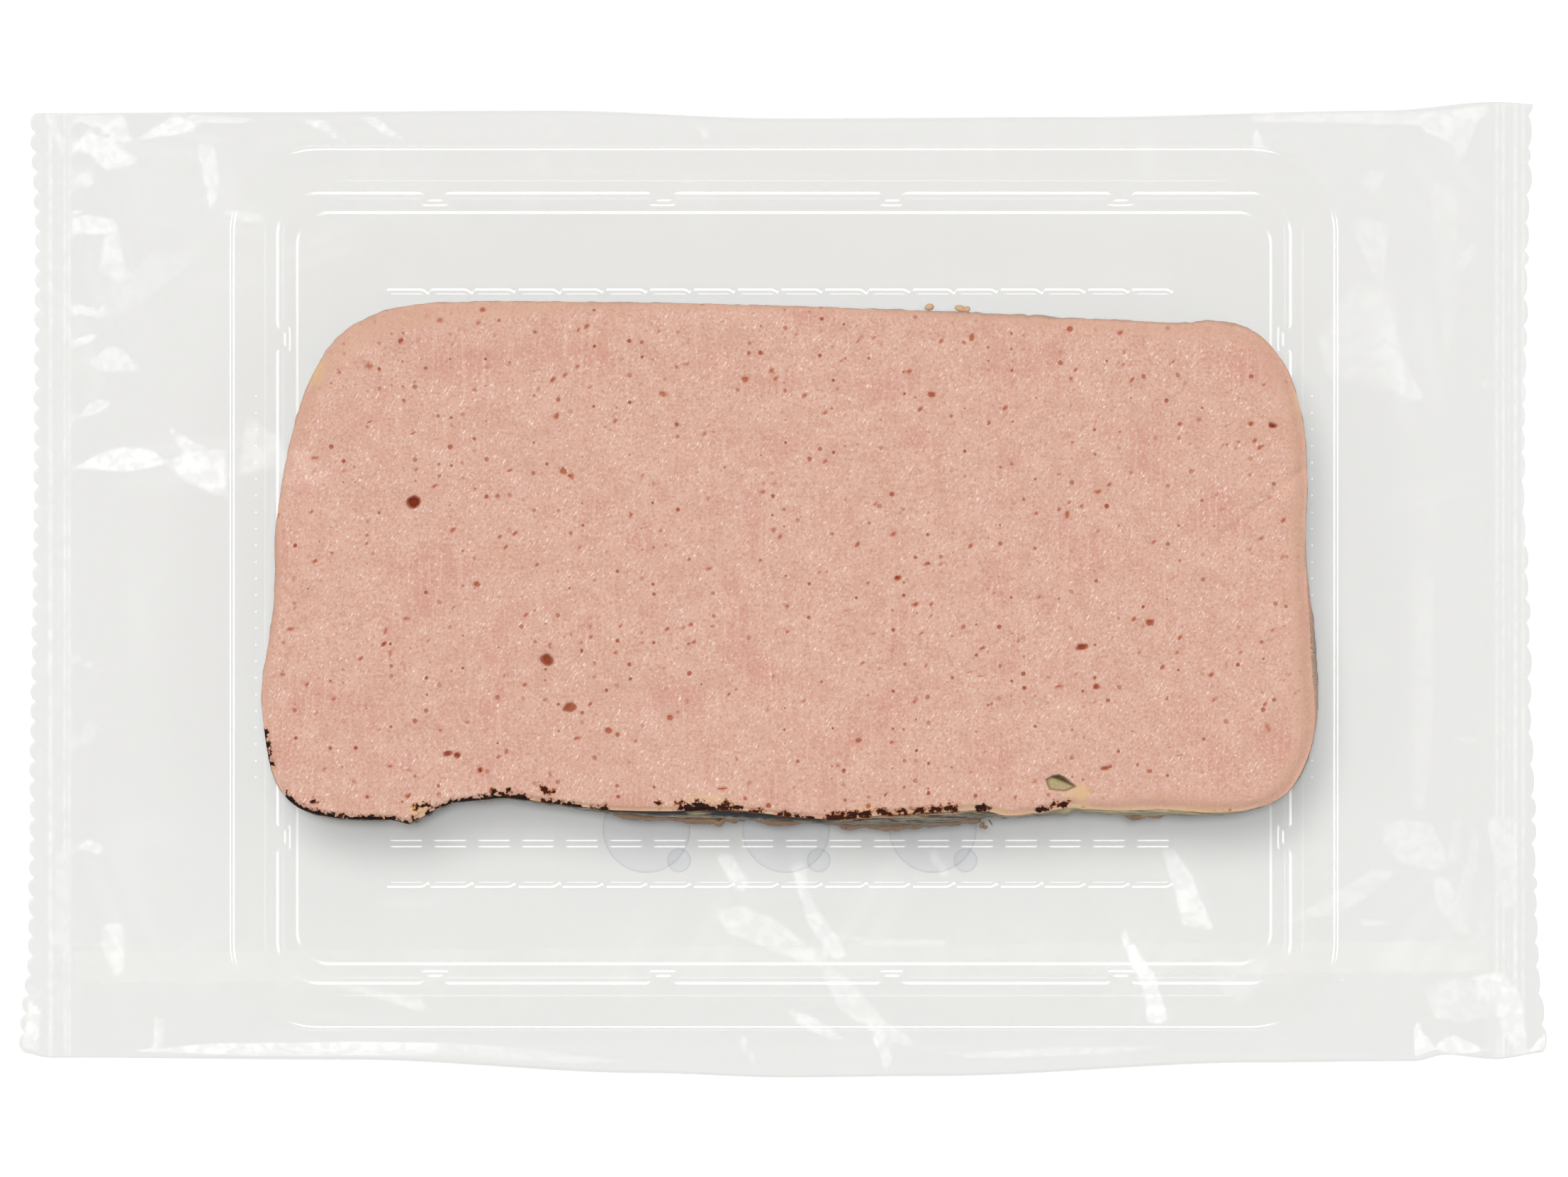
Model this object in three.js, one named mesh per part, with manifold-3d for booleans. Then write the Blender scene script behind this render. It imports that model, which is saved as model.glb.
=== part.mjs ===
// A thick slice of pate on a shallow tray, sealed flat in a clear flow-wrap bag.
// The bag is shut, so it is one solid with the outer form of its film: a level top over the slice,
// slopes down over the tray's rim to the two folded long edges, and a crimped seal at each end.
// Millimetres. +X runs towards the right-hand seal, +Y towards the upper long edge, +Z up.
// The origin is on the table, under the middle of the bag.

import * as THREE from "three";
import { mergeVertices } from "three/addons/utils/BufferGeometryUtils.js";
import Module from "manifold-3d";

const wasm = await Module();
wasm.setup();

// The slice, seen from above. Its outline runs anticlockwise from the upper left corner.
const slice = {
  top: 17,
  leftEnd: [
    [-56.5, 38.7], [-62.1, 35.6], [-65.8, 30.2], [-68.3, 23.5], [-71, 9], [-71.3, -1.6],
    [-73, -16], [-70.5, -27.2], [-67, -30.8],
  ],
  lowerEdge: [
    [-61.7, -32.2], [-52.1, -32.8], [-46.3, -29.9], [-41.1, -29.2], [-24, -31.1], [-8.9, -32.7],
    [13.3, -33.2], [30.3, -32.1], [48.9, -31.7], [63.3, -31.1],
  ],
  rightEnd: [
    [69.5, -28.6], [72.9, -24.5], [74.5, -18.5], [74.3, -7], [73, 4.5], [73.1, 17],
    [72.2, 24.2], [69.7, 31.3], [65.6, 35.8],
  ],
  upperEdge: [[60, 37.3], [27.9, 38.7], [-22.8, 40.1], [-50.8, 39.9]],
  curveSteps: 240,
};

// The tray lifts the film along its rim.
const tray = {
  length: 155.4,
  width: 124,
  cornerRadius: 12,
  rimHeight: 5.6,
  middleY: 0.2,
  curveSteps: 24,
};

// Edges of the bag, as stations [x, y] for the long edges and [y, x] for the cut ends.
const bag = {
  filmOverSlice: 0.3,
  edgeHeight: 1,
  leftSealLine: -100.6,
  rightSealLine: 99.9,
  upperEdge: [
    [-106, 67.2], [-75, 67.4], [-33, 67.6], [0, 66.5], [42, 66.7], [84.6, 67.6], [100.2, 68.8],
    [105.8, 68.5],
  ],
  lowerEdge: [
    [-107.8, -65.2], [-103.5, -66], [-61.2, -66.3], [-19, -68.2], [0.2, -68.8], [21.2, -68.6],
    [67, -66.7], [89, -66.5], [93.1, -65.6], [100.2, -66.2], [107.8, -65.2],
  ],
  leftCut: [
    [-65.2, -107.8], [-49.5, -106.4], [-33, -106.2], [17, -105.6], [50, -105.4], [67.2, -106.2],
  ],
  rightCut: [
    [-65.2, 107.8], [-49.5, 106.7], [-33, 106.2], [-11, 105.6], [17, 104.8], [39, 105.1],
    [68.5, 105.8],
  ],
};

// How the film is divided: points along each side of the bag and rings from the slice outwards.
const mesh = {
  alongLongEdge: 60,
  alongEnd: 36,
  plateauShares: [0.3, 0.6, 0.85, 0.96],
  ringsToRim: 5,
  ringsToEdge: 5,
};

// How the film runs: round the slice's edge, down in a slight hollow, over the rim and round its fold.
const film = {
  shoulderReach: 1.6,
  shoulderDrop: 0.7,
  hollow: 1.15,
  rimFall: 0.35,
  foldReach: 2.2,
  foldRise: 0.9,
  undersideReach: 5,
  creaseRun: 4,
};

// Zigzag-cut and crimped end seals.
const seal = {
  thickness: 0.8,
  overlap: 1.5,
  toothDepth: 0.6,
  leftToothPitch: 2.8,
  rightToothPitch: 4.4,
  stepsPerTooth: 4,
  cornerX: 105,
  blankReach: 20,
  blankDepth: 4,
  blankLength: 150,
  ridgePitch: 0.7,
  ridgeHeight: 0.12,
  ridgeBand: 4.2,
};

// Main creases of the upper film: a straight ridge from one end to the other, in millimetres.
const folds = [
  { from: [-99, 64], to: [-84, 57], width: 2.4, height: 1.4 },
  { from: [-90, 64], to: [-77, 61], width: 2, height: 1.1 },
  { from: [-80.5, 62], to: [-78, 50], width: 2, height: 1.2 },
  { from: [-98, 52], to: [-93, 36], width: 2.4, height: 1 },
  { from: [-96, 17], to: [-71, 19], width: 3, height: 1.8 },
  { from: [-97, -34], to: [-88, -56], width: 3, height: 1.1 },
  { from: [-14, -58], to: [-4, -38], width: 2.6, height: 1.2 },
  { from: [6, -55], to: [19, -36], width: 2.6, height: 1.2 },
  { from: [47, -60], to: [55, -46], width: 2.6, height: 1.5 },
  { from: [53, -36], to: [60, -49], width: 2.6, height: 1.5 },
  { from: [88, 64], to: [99, 52], width: 3, height: 1.6 },
  { from: [86, 45], to: [90, 22], width: 3.4, height: 1.2 },
  { from: [84, -58], to: [97, -40], width: 3, height: 1.4 },
];

const sliceLoop = new THREE.CatmullRomCurve3(
  [...slice.leftEnd, ...slice.lowerEdge, ...slice.rightEnd, ...slice.upperEdge].map(
    ([x, y]) => new THREE.Vector3(x, y, 0),
  ),
  true,
  "centripetal",
).getSpacedPoints(slice.curveSteps);

const rimLoop = roundedRectangle(tray.length, tray.width, tray.cornerRadius, tray.middleY);

// A rounded rectangle about the Y axis, as a closed loop of points.
function roundedRectangle(length, width, radius, middleY) {
  const x = length / 2 - radius;
  const y = width / 2 - radius;
  const shape = new THREE.Shape();
  shape.absarc(x, middleY + y, radius, 0, Math.PI / 2);
  shape.absarc(-x, middleY + y, radius, Math.PI / 2, Math.PI);
  shape.absarc(-x, middleY - y, radius, Math.PI, 1.5 * Math.PI);
  shape.absarc(x, middleY - y, radius, 1.5 * Math.PI, 2 * Math.PI);
  shape.closePath();
  return shape.getPoints(tray.curveSteps);
}

// The value of a wavy edge at a place along it, eased from one station to the next.
function edgeAt(stations, place) {
  const last = stations.length - 1;
  const found = stations.findIndex(([at]) => at > place);
  const k = found < 0 ? last : Math.max(found, 1);
  const [a, valueA] = stations[k - 1];
  const [b, valueB] = stations[k];
  return THREE.MathUtils.lerp(valueA, valueB, THREE.MathUtils.smoothstep(place, a, b));
}

// How far a ray from the origin towards a point travels before it meets a loop around it.
function reachAlong(loop, towards) {
  const ray = new THREE.Vector2(towards.x, towards.y).normalize();
  for (let i = 0; i < loop.length; i++) {
    const a = loop[i];
    const b = loop[(i + 1) % loop.length];
    const sideA = ray.x * a.y - ray.y * a.x;
    const sideB = ray.x * b.y - ray.y * b.x;
    if (sideA > 0 === sideB > 0) continue;
    const share = sideA / (sideA - sideB);
    const reach = ray.x * (a.x + share * (b.x - a.x)) + ray.y * (a.y + share * (b.y - a.y));
    if (reach > 0) return reach;
  }
  throw new Error("the loop does not surround the origin");
}

// Points along the outside of the film, between the two seal lines, anticlockwise from the upper left.
function edgeLoop() {
  const { leftSealLine: left, rightSealLine: right } = bag;
  const points = [];
  const corners = {
    upperLeft: edgeAt(bag.upperEdge, left),
    lowerLeft: edgeAt(bag.lowerEdge, left),
    lowerRight: edgeAt(bag.lowerEdge, right),
    upperRight: edgeAt(bag.upperEdge, right),
  };
  for (let i = 0; i < mesh.alongEnd; i++) {
    const y = THREE.MathUtils.lerp(corners.upperLeft, corners.lowerLeft, i / mesh.alongEnd);
    points.push(new THREE.Vector2(left, y));
  }
  for (let i = 0; i < mesh.alongLongEdge; i++) {
    const x = THREE.MathUtils.lerp(left, right, i / mesh.alongLongEdge);
    points.push(new THREE.Vector2(x, edgeAt(bag.lowerEdge, x)));
  }
  for (let i = 0; i < mesh.alongEnd; i++) {
    const y = THREE.MathUtils.lerp(corners.lowerRight, corners.upperRight, i / mesh.alongEnd);
    points.push(new THREE.Vector2(right, y));
  }
  for (let i = 0; i < mesh.alongLongEdge; i++) {
    const x = THREE.MathUtils.lerp(right, left, i / mesh.alongLongEdge);
    points.push(new THREE.Vector2(x, edgeAt(bag.upperEdge, x)));
  }
  return points;
}

// Rise of one crease at a point: highest on its line and fading across and past its ends.
function foldRise(fold, point) {
  const start = new THREE.Vector3(...fold.from, 0);
  const end = new THREE.Vector3(...fold.to, 0);
  const place = new THREE.Vector3(point.x, point.y, 0);
  const nearest = new THREE.Line3(start, end).closestPointToPoint(place, true, new THREE.Vector3());
  const away = place.distanceTo(nearest) / fold.width;
  return fold.height * Math.exp(-away * away);
}

// Height of the upper film on a ray that leaves the slice at sliceReach and the bag at edgeReach.
function filmHeight(point, sliceReach, rimReach, edgeReach) {
  const top = slice.top + bag.filmOverSlice;
  const reach = point.length();
  const shoulderEnd = sliceReach + film.shoulderReach;
  const slope = THREE.MathUtils.clamp((reach - shoulderEnd) / (edgeReach - shoulderEnd), 0, 1);
  const fall = top - film.shoulderDrop - bag.edgeHeight;
  const tent = bag.edgeHeight + fall * Math.pow(1 - slope, film.hollow);
  const rim = tray.rimHeight - film.rimFall * Math.abs(reach - rimReach);
  const roll = THREE.MathUtils.clamp((edgeReach - reach) / film.foldReach, 0, 1);
  const folded = bag.edgeHeight + film.foldRise * Math.sqrt(1 - (1 - roll) ** 2);
  const creases = folds.reduce((sum, fold) => sum + foldRise(fold, point), 0);
  return Math.max(tent, rim * roll, folded) + creases * Math.min(roll, slope * film.creaseRun);
}

// One ring of the upper film, at the same stage of every ray.
function filmRing(rays, reachOf) {
  return rays.map((ray) => {
    const point = ray.towards.clone().setLength(reachOf(ray));
    const height = filmHeight(point, ray.slice, ray.rim, ray.edge);
    return new THREE.Vector3(point.x, point.y, height);
  });
}

// Rings over the slice, level with its face.
function plateauRings(rays) {
  const level = slice.top + bag.filmOverSlice;
  const flat = mesh.plateauShares.map((share) =>
    rays.map((ray) => {
      const point = ray.towards.clone().setLength(ray.slice * share);
      return new THREE.Vector3(point.x, point.y, level);
    }),
  );
  const rounded = rays.map((ray) => {
    const point = ray.towards.clone().setLength(ray.slice + film.shoulderReach / 3);
    return new THREE.Vector3(point.x, point.y, level - film.shoulderDrop / 3);
  });
  return [...flat, rounded];
}

// The closed film envelope, as rings from the middle of the top, round the edge, to the middle below.
function filmEnvelope() {
  const rays = edgeLoop().map((towards) => ({
    towards,
    slice: reachAlong(sliceLoop, towards),
    rim: reachAlong(rimLoop, towards),
    edge: towards.length(),
  }));
  const rings = plateauRings(rays);
  for (let i = 0; i < mesh.ringsToRim; i++) {
    const share = i / mesh.ringsToRim;
    rings.push(filmRing(rays, (r) => THREE.MathUtils.lerp(r.slice + film.shoulderReach, r.rim, share)));
  }
  for (let i = 0; i <= mesh.ringsToEdge; i++) {
    const share = 1 - (1 - i / mesh.ringsToEdge) ** 2;
    rings.push(filmRing(rays, (r) => THREE.MathUtils.lerp(r.rim, r.edge, share)));
  }
  rings.push(
    rays.map(({ towards, edge }) => {
      const point = towards.clone().setLength(edge - film.undersideReach);
      return new THREE.Vector3(point.x, point.y, 0);
    }),
  );
  return closedLoft(slice.top + bag.filmOverSlice, rings, 0);
}

// Joins rings of equal length into one closed surface with a middle point at each end.
function closedLoft(topHeight, rings, bottomHeight) {
  const count = rings[0].length;
  const topMiddle = new THREE.Vector3(0, 0, topHeight);
  const bottomMiddle = new THREE.Vector3(0, 0, bottomHeight);
  const points = [topMiddle, ...rings.flat(), bottomMiddle];
  const at = (ring, i) => 1 + ring * count + (i % count);
  const index = [];
  for (let i = 0; i < count; i++) {
    index.push(0, at(0, i), at(0, i + 1));
    for (let ring = 0; ring < rings.length - 1; ring++) {
      const [a, b] = [at(ring, i), at(ring, i + 1)];
      const [c, d] = [at(ring + 1, i), at(ring + 1, i + 1)];
      index.push(a, c, d, a, d, b);
    }
    index.push(points.length - 1, at(rings.length - 1, i + 1), at(rings.length - 1, i));
  }
  return new THREE.BufferGeometry().setFromPoints(points).setIndex(index);
}

// Outline of a seal fin: straight at the film, toothed where the bag was cut.
function finShape(side, sealLine, cut, toothPitch) {
  const outline = [];
  const low = edgeAt(bag.lowerEdge, side * seal.cornerX);
  const high = edgeAt(bag.upperEdge, side * seal.cornerX);
  const teeth = Math.round((high - low) / toothPitch);
  const steps = teeth * seal.stepsPerTooth;
  for (let i = 0; i <= steps; i++) {
    const y = THREE.MathUtils.lerp(low, high, i / steps);
    const tooth = seal.toothDepth * (1 - Math.abs(Math.sin((Math.PI * i) / seal.stepsPerTooth)));
    outline.push(new THREE.Vector2(edgeAt(cut, y) - side * tooth, y));
  }
  const inner = sealLine - side * seal.overlap;
  outline.push(new THREE.Vector2(sealLine, edgeAt(bag.upperEdge, sealLine)));
  outline.push(new THREE.Vector2(inner, edgeAt(bag.upperEdge, inner) - seal.overlap));
  outline.push(new THREE.Vector2(inner, edgeAt(bag.lowerEdge, inner) + seal.overlap));
  outline.push(new THREE.Vector2(sealLine, edgeAt(bag.lowerEdge, sealLine)));
  return new THREE.Shape(outline);
}

// Cross-section of the crimp: a flat strip with small ridges on its upper face.
function crimpProfile(side, sealLine) {
  const ridges = Math.round(seal.ridgeBand / seal.ridgePitch);
  const inner = sealLine - side * seal.blankReach;
  const outer = sealLine + side * seal.blankReach;
  const points = [[outer, 0], [inner, 0], [inner, seal.thickness]];
  for (let i = 0; i < ridges; i++) {
    const start = sealLine + side * i * seal.ridgePitch;
    points.push([start, seal.thickness]);
    points.push([start + (side * seal.ridgePitch) / 2, seal.thickness + seal.ridgeHeight]);
  }
  points.push([sealLine + side * seal.ridgeBand, seal.thickness]);
  points.push([outer, seal.thickness]);
  return new THREE.Shape(points.map(([x, z]) => new THREE.Vector2(x, z)));
}

// A seal fin: the toothed outline, ridged by the crimp.
function sealFin(side, sealLine, cut, toothPitch) {
  const plan = new THREE.ExtrudeGeometry(finShape(side, sealLine, cut, toothPitch), {
    depth: seal.blankDepth,
    bevelEnabled: false,
  });
  plan.translate(0, 0, bag.edgeHeight - seal.blankDepth / 2);
  const crimp = new THREE.ExtrudeGeometry(crimpProfile(side, sealLine), {
    depth: seal.blankLength,
    bevelEnabled: false,
  });
  crimp.rotateX(Math.PI / 2);
  crimp.translate(0, seal.blankLength / 2, bag.edgeHeight - seal.thickness / 2);
  return solidOf(plan).intersect(solidOf(crimp));
}

// A closed geometry as a solid for joining and cutting.
function solidOf(geometry) {
  const bare = geometry.clone();
  bare.deleteAttribute("normal");
  bare.deleteAttribute("uv");
  const merged = mergeVertices(bare, 1e-4);
  return new wasm.Manifold(
    new wasm.Mesh({
      numProp: 3,
      vertProperties: Float32Array.from(merged.attributes.position.array),
      triVerts: Uint32Array.from(merged.index.array),
    }),
  );
}

// A solid as a geometry, with its box centred over the origin.
function geometryOf(solid) {
  const { vertProperties, triVerts } = solid.getMesh();
  const geometry = new THREE.BufferGeometry()
    .setAttribute("position", new THREE.BufferAttribute(Float32Array.from(vertProperties), 3))
    .setIndex(new THREE.BufferAttribute(Uint32Array.from(triVerts), 1));
  geometry.computeBoundingBox();
  const middle = geometry.boundingBox.getCenter(new THREE.Vector3());
  geometry.translate(-middle.x, -middle.y, 0);
  geometry.computeVertexNormals();
  return geometry;
}

function filmBag() {
  const whole = solidOf(filmEnvelope())
    .add(sealFin(-1, bag.leftSealLine, bag.leftCut, seal.leftToothPitch))
    .add(sealFin(1, bag.rightSealLine, bag.rightCut, seal.rightToothPitch));
  const material = new THREE.MeshStandardMaterial({ color: 0xebeae7, roughness: 0.2, metalness: 0 });
  const piece = new THREE.Mesh(geometryOf(whole), material);
  piece.name = "film_bag";
  return piece;
}

const pack = new THREE.Group();
pack.add(filmBag());

export default pack;
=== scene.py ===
import math
from types import SimpleNamespace

import bmesh
import bpy
import numpy as np
from mathutils import Matrix, Vector


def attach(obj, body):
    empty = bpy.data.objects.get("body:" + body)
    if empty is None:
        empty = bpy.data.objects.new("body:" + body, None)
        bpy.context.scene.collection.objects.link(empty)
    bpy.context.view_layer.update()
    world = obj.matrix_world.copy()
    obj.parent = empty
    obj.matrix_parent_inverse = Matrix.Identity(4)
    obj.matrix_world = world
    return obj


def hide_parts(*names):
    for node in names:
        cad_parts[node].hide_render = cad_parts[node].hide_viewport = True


# A thick slice of pate on a shallow clear tray, sealed in a clear flow-wrap bag.
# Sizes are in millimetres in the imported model's own frame, and mm turns them into metres.

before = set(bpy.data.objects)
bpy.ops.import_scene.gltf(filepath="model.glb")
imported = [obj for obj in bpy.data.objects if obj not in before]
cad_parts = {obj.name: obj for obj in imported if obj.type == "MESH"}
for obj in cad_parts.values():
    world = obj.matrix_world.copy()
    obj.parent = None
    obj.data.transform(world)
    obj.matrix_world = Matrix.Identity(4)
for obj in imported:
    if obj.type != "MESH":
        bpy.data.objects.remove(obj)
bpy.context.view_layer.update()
mm = 0.001


def smooth(share):
    share = np.clip(share, 0, 1)
    return share * share * (3 - 2 * share)


def hump(away):
    return np.exp(-away * away)


def eased(stations, at):
    # a wavy edge's value, eased from one station to the next
    places = np.array([s[0] for s in stations], float)
    values = np.array([s[1] for s in stations], float)
    at = np.clip(np.asarray(at, float), places[0], places[-1])
    k = np.clip(np.searchsorted(places, at, side="right"), 1, len(places) - 1)
    share = smooth((at - places[k - 1]) / (places[k] - places[k - 1]))
    return values[k - 1] + (values[k] - values[k - 1]) * share


def closedCurve(points, steps):
    # a smooth closed line through the points, with some steps between each two
    here = np.array(points, float)
    before, after, beyond = np.roll(here, 1, 0), np.roll(here, -1, 0), np.roll(here, -2, 0)
    gapBefore = np.sqrt(np.linalg.norm(here - before, axis=1))[:, None]
    gap = np.sqrt(np.linalg.norm(after - here, axis=1))[:, None]
    gapAfter = np.sqrt(np.linalg.norm(beyond - after, axis=1))[:, None]
    leaving = (here - before) / gapBefore - (after - before) / (gapBefore + gap)
    leaving = (leaving + (after - here) / gap) * gap
    arriving = (after - here) / gap - (beyond - here) / (gap + gapAfter)
    arriving = (arriving + (beyond - after) / gapAfter) * gap
    t = (np.arange(steps) / steps)[None, :, None]
    curve = here[:, None] * (2 * t**3 - 3 * t**2 + 1) + leaving[:, None] * (t**3 - 2 * t**2 + t)
    curve = curve + after[:, None] * (3 * t**2 - 2 * t**3) + arriving[:, None] * (t**3 - t**2)
    return curve.reshape(-1, 2)


def byBearing(loop, values, bearing):
    # values that belong to the points of a loop round the origin, read off at other bearings
    own = np.unwrap(np.arctan2(loop[:, 1], loop[:, 0]))
    own = np.maximum.accumulate(own) + np.arange(len(own)) * 1e-9
    return np.interp(bearing, own, values, period=2 * math.pi)


def reachOf(loop, bearing):
    return byBearing(loop, np.hypot(loop[:, 0], loop[:, 1]), bearing)


def evenReach(loop, bearing):
    # the same reach without its steps, averaged over nearby bearings
    widest, spread, samples = 0.16, 0.09, 17
    turns = np.linspace(-widest, widest, samples)
    weights = hump(turns / spread)
    total = sum(w * reachOf(loop, bearing + t) for t, w in zip(turns, weights))
    return total / weights.sum()


def blotches(x, y, cell, seed):
    # soft random hills from 0 to 1, about a cell apart
    rng = np.random.default_rng(seed)
    size = 512
    lattice = rng.random((size, size))
    gx, gy = np.asarray(x) / cell + size / 2, np.asarray(y) / cell + size / 2
    ix, iy = np.floor(gx).astype(int), np.floor(gy).astype(int)
    fx, fy = smooth(gx - ix), smooth(gy - iy)
    ix, iy = ix % (size - 1), iy % (size - 1)
    low = lattice[ix, iy] * (1 - fx) + lattice[ix + 1, iy] * fx
    high = lattice[ix, iy + 1] * (1 - fx) + lattice[ix + 1, iy + 1] * fx
    return low * (1 - fy) + high * fy


def offLine(x, y, start, end):
    # distance from the straight line between two points, and the share of the way along it
    run = np.array(end, float) - np.array(start, float)
    share = ((x - start[0]) * run[0] + (y - start[1]) * run[1]) / run.dot(run)
    near = np.clip(share, 0, 1)
    return np.hypot(x - start[0] - near * run[0], y - start[1] - near * run[1]), share


def insideBy(x, y, corners):
    # distance inside an outline of straight edges, negative outside it
    away, odd = np.full(x.shape, 1e6), np.zeros(x.shape, bool)
    for here, onwards in zip(corners, corners[1:] + corners[:1]):
        off, _ = offLine(x, y, here, onwards)
        away = np.minimum(away, off)
        if here[1] != onwards[1]:
            crossing = (here[1] > y) != (onwards[1] > y)
            slope = (onwards[0] - here[0]) / (onwards[1] - here[1])
            odd ^= crossing & (x < here[0] + slope * (y - here[1]))
    return np.where(odd, away, -away)


def flatGrid(name, columns, rows):
    # a grid with each point's share of the way along it and across it
    bm = bmesh.new()
    bmesh.ops.create_grid(bm, x_segments=columns, y_segments=rows, size=1)
    mesh = bpy.data.meshes.new(name)
    bm.to_mesh(mesh)
    bm.free()
    x, y, _ = pointsOf(mesh, 1)
    return mesh, (x + 1) / 2, (y + 1) / 2


def pointsOf(mesh, unit=mm):
    found = np.zeros(len(mesh.vertices) * 3, np.float32)
    mesh.vertices.foreach_get("co", found)
    return (found.reshape(-1, 3).astype(float) / unit).T


def placePoints(mesh, x, y, z):
    places = np.stack([x, y, z], axis=1) * mm
    mesh.vertices.foreach_set("co", places.astype(np.float32).ravel())
    mesh.update()


def addShare(mesh, name, values):
    # a number for each point, which a material reads by name
    layer = mesh.attributes.get(name) or mesh.attributes.new(name, "FLOAT", "POINT")
    layer.data.foreach_set("value", np.asarray(values, np.float32))


def joined(name, meshes):
    # several meshes as one, with the points that meet merged
    bm = bmesh.new()
    for part in meshes:
        bm.from_mesh(part)
        bpy.data.meshes.remove(part)
    bmesh.ops.remove_doubles(bm, verts=bm.verts, dist=0.0005 * mm)
    return bm


def finishPiece(name, bm, materials):
    # one piece of the pack from a bmesh or a mesh, smooth, riding on the root body
    mesh = bm
    if isinstance(bm, bmesh.types.BMesh):
        mesh = bpy.data.meshes.new(name)
        bm.to_mesh(mesh)
        bm.free()
    mesh.name = name
    mesh.shade_smooth()
    piece = bpy.data.objects.new(name, mesh)
    bpy.context.scene.collection.objects.link(piece)
    for material in materials:
        mesh.materials.append(material)
    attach(piece, "root")
    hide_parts("film_bag")
    return piece


def tone(red, green, blue):
    # a colour given as it looks on screen, 0 to 255
    linear = []
    for value in (red, green, blue):
        share = value / 255
        linear.append(share / 12.92 if share < 0.04045 else ((share + 0.055) / 1.055) ** 2.4)
    return (*linear, 1)


def newMaterial(name):
    material = bpy.data.materials.new(name)
    material.use_nodes = True
    material.node_tree.nodes.clear()
    return material, material.node_tree


def addNode(tree, kind, inputs=None, **settings):
    made = tree.nodes.new("ShaderNode" + kind)
    for key, value in settings.items():
        setattr(made, key, value)
    for key, value in (inputs or {}).items():
        if isinstance(value, bpy.types.NodeSocket):
            tree.links.new(value, made.inputs[key])
        else:
            made.inputs[key].default_value = value
    return made


def maths(tree, operation, a, b=0.0, c=0.0):
    return addNode(tree, "Math", {0: a, 1: b, 2: c}, operation=operation).outputs[0]


def mixColour(tree, share, a, b):
    return addNode(tree, "Mix", {0: share, 6: a, 7: b}, data_type="RGBA").outputs[2]


def between(tree, value, low, high):
    # 0 below low and 1 above high, smooth in between
    inputs = {"Value": value, "From Min": low, "From Max": high}
    return addNode(tree, "MapRange", inputs, interpolation_type="SMOOTHSTEP").outputs[0]


def tinted(tree, colour, target, value, low, high, strength=1.0):
    # the colour, moved towards another one as a value goes from low to high
    share = maths(tree, "MULTIPLY", between(tree, value, low, high), strength)
    return mixColour(tree, share, colour, target)


def millimetres(tree, stretch=(1, 1, 1)):
    # object coordinates in millimetres, stretched where a pattern runs one way
    place = addNode(tree, "TexCoord").outputs["Object"]
    scale = [1 / mm / s for s in stretch]
    return addNode(tree, "Mapping", {"Vector": place, "Scale": scale}).outputs[0]


def noise(tree, place, size, detail=2.0, rough=0.5):
    # cloudy noise whose lumps are about size millimetres across
    inputs = {"Vector": place, "Scale": 1 / size, "Detail": detail, "Roughness": rough}
    return addNode(tree, "TexNoise", inputs).outputs[0]


def attribute(tree, name):
    return addNode(tree, "Attribute", attribute_name=name).outputs["Fac"]


def surface(tree, shader):
    output = tree.nodes.new("ShaderNodeOutputMaterial")
    tree.links.new(shader, output.inputs["Surface"])


sliceValues = {
    "top": 17.0,
    "underside": 5.0,
    "leftEnd": [
        (-56.5, 38.7), (-62.1, 35.6), (-65.8, 30.2), (-68.3, 23.5), (-71, 9), (-71.3, -1.6),
        (-73, -16), (-70.8, -27.2), (-67.5, -30.7),
    ],
    "lowerEdge": [
        (-64.5, -31.8), (-61.4, -32.2), (-54, -32.2), (-46, -31.6), (-36, -30.9), (-27.5, -31.1),
        (-16, -31.9), (-8.9, -32.2), (0, -32.4), (7, -32.9), (14, -33.1), (21, -32.9), (30.3, -32.1),
        (39, -31.4), (48.9, -31.5), (64.3, -31.2),
    ],
    # how far the lower edge steps up or down from that outline
    "lowSteps": [
        (-60, 0), (-57.4, -0.1), (-54.9, -0.1), (-52.2, -0.7), (-50.2, 0.2), (-48.2, 1.2), (-46, 1.7),
        (-43.5, 1.8), (-39.5, 1.8), (-36.2, 1.4), (-33, 0.85), (-27.5, 0.3), (-24, 0),
    ],
    "rightEnd": [
        (70.0, -28.8), (72.9, -24.5), (74.5, -18.5), (74.3, -7), (73, 4.5), (73.1, 17),
        (72.4, 24.2), (70, 31.4), (66, 35.9),
    ],
    "upperEdge": [(61, 37.5), (55, 37.3), (27.9, 38.7), (-22.8, 40.15), (-50.8, 39.9)],
    "curveSteps": 40,
    "columns": 280,
    "rows": 140,
    "halfColumns": 72.5,
    "halfRows": 35.5,
    "evenUpTo": 0.8,        # share of the way out over which the grid is even
    # shares of the way down the walls: their rings, and how far out they reach
    "wallRings": [0.012, 0.04, 0.08, 0.13, 0.19, 0.27, 0.36, 0.46, 0.58, 0.72, 0.87, 1.0],
    "wallSpread": [
        (0, 0), (0.012, 0.1), (0.04, 0.36), (0.08, 0.6), (0.19, 0.88), (0.36, 1), (0.8, 0.9), (1, 0.45),
    ],
    "rimRound": 0.9,        # how far in from its edge the cut face starts to fall
    "rimDrop": 0.3,
    "bandDrop": 0.22,       # how much further it falls for each millimetre of smooth band
    "wave": (0.25, 22),     # height of the face's broad and fine waves, and how far apart they are
    "fineWave": (0.12, 5),
    "streakHeight": 0.06,
    "crease": ((60.5, 6.5), (72.4, 16.6)),
    "creaseDepth": 0.5,
    "creaseWidth": 0.6,
    "lowEdgeY": -25,        # the lower edge lies below this, and between these two
    "lowFromX": -69,
    "lowToX": 64,
}

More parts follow.
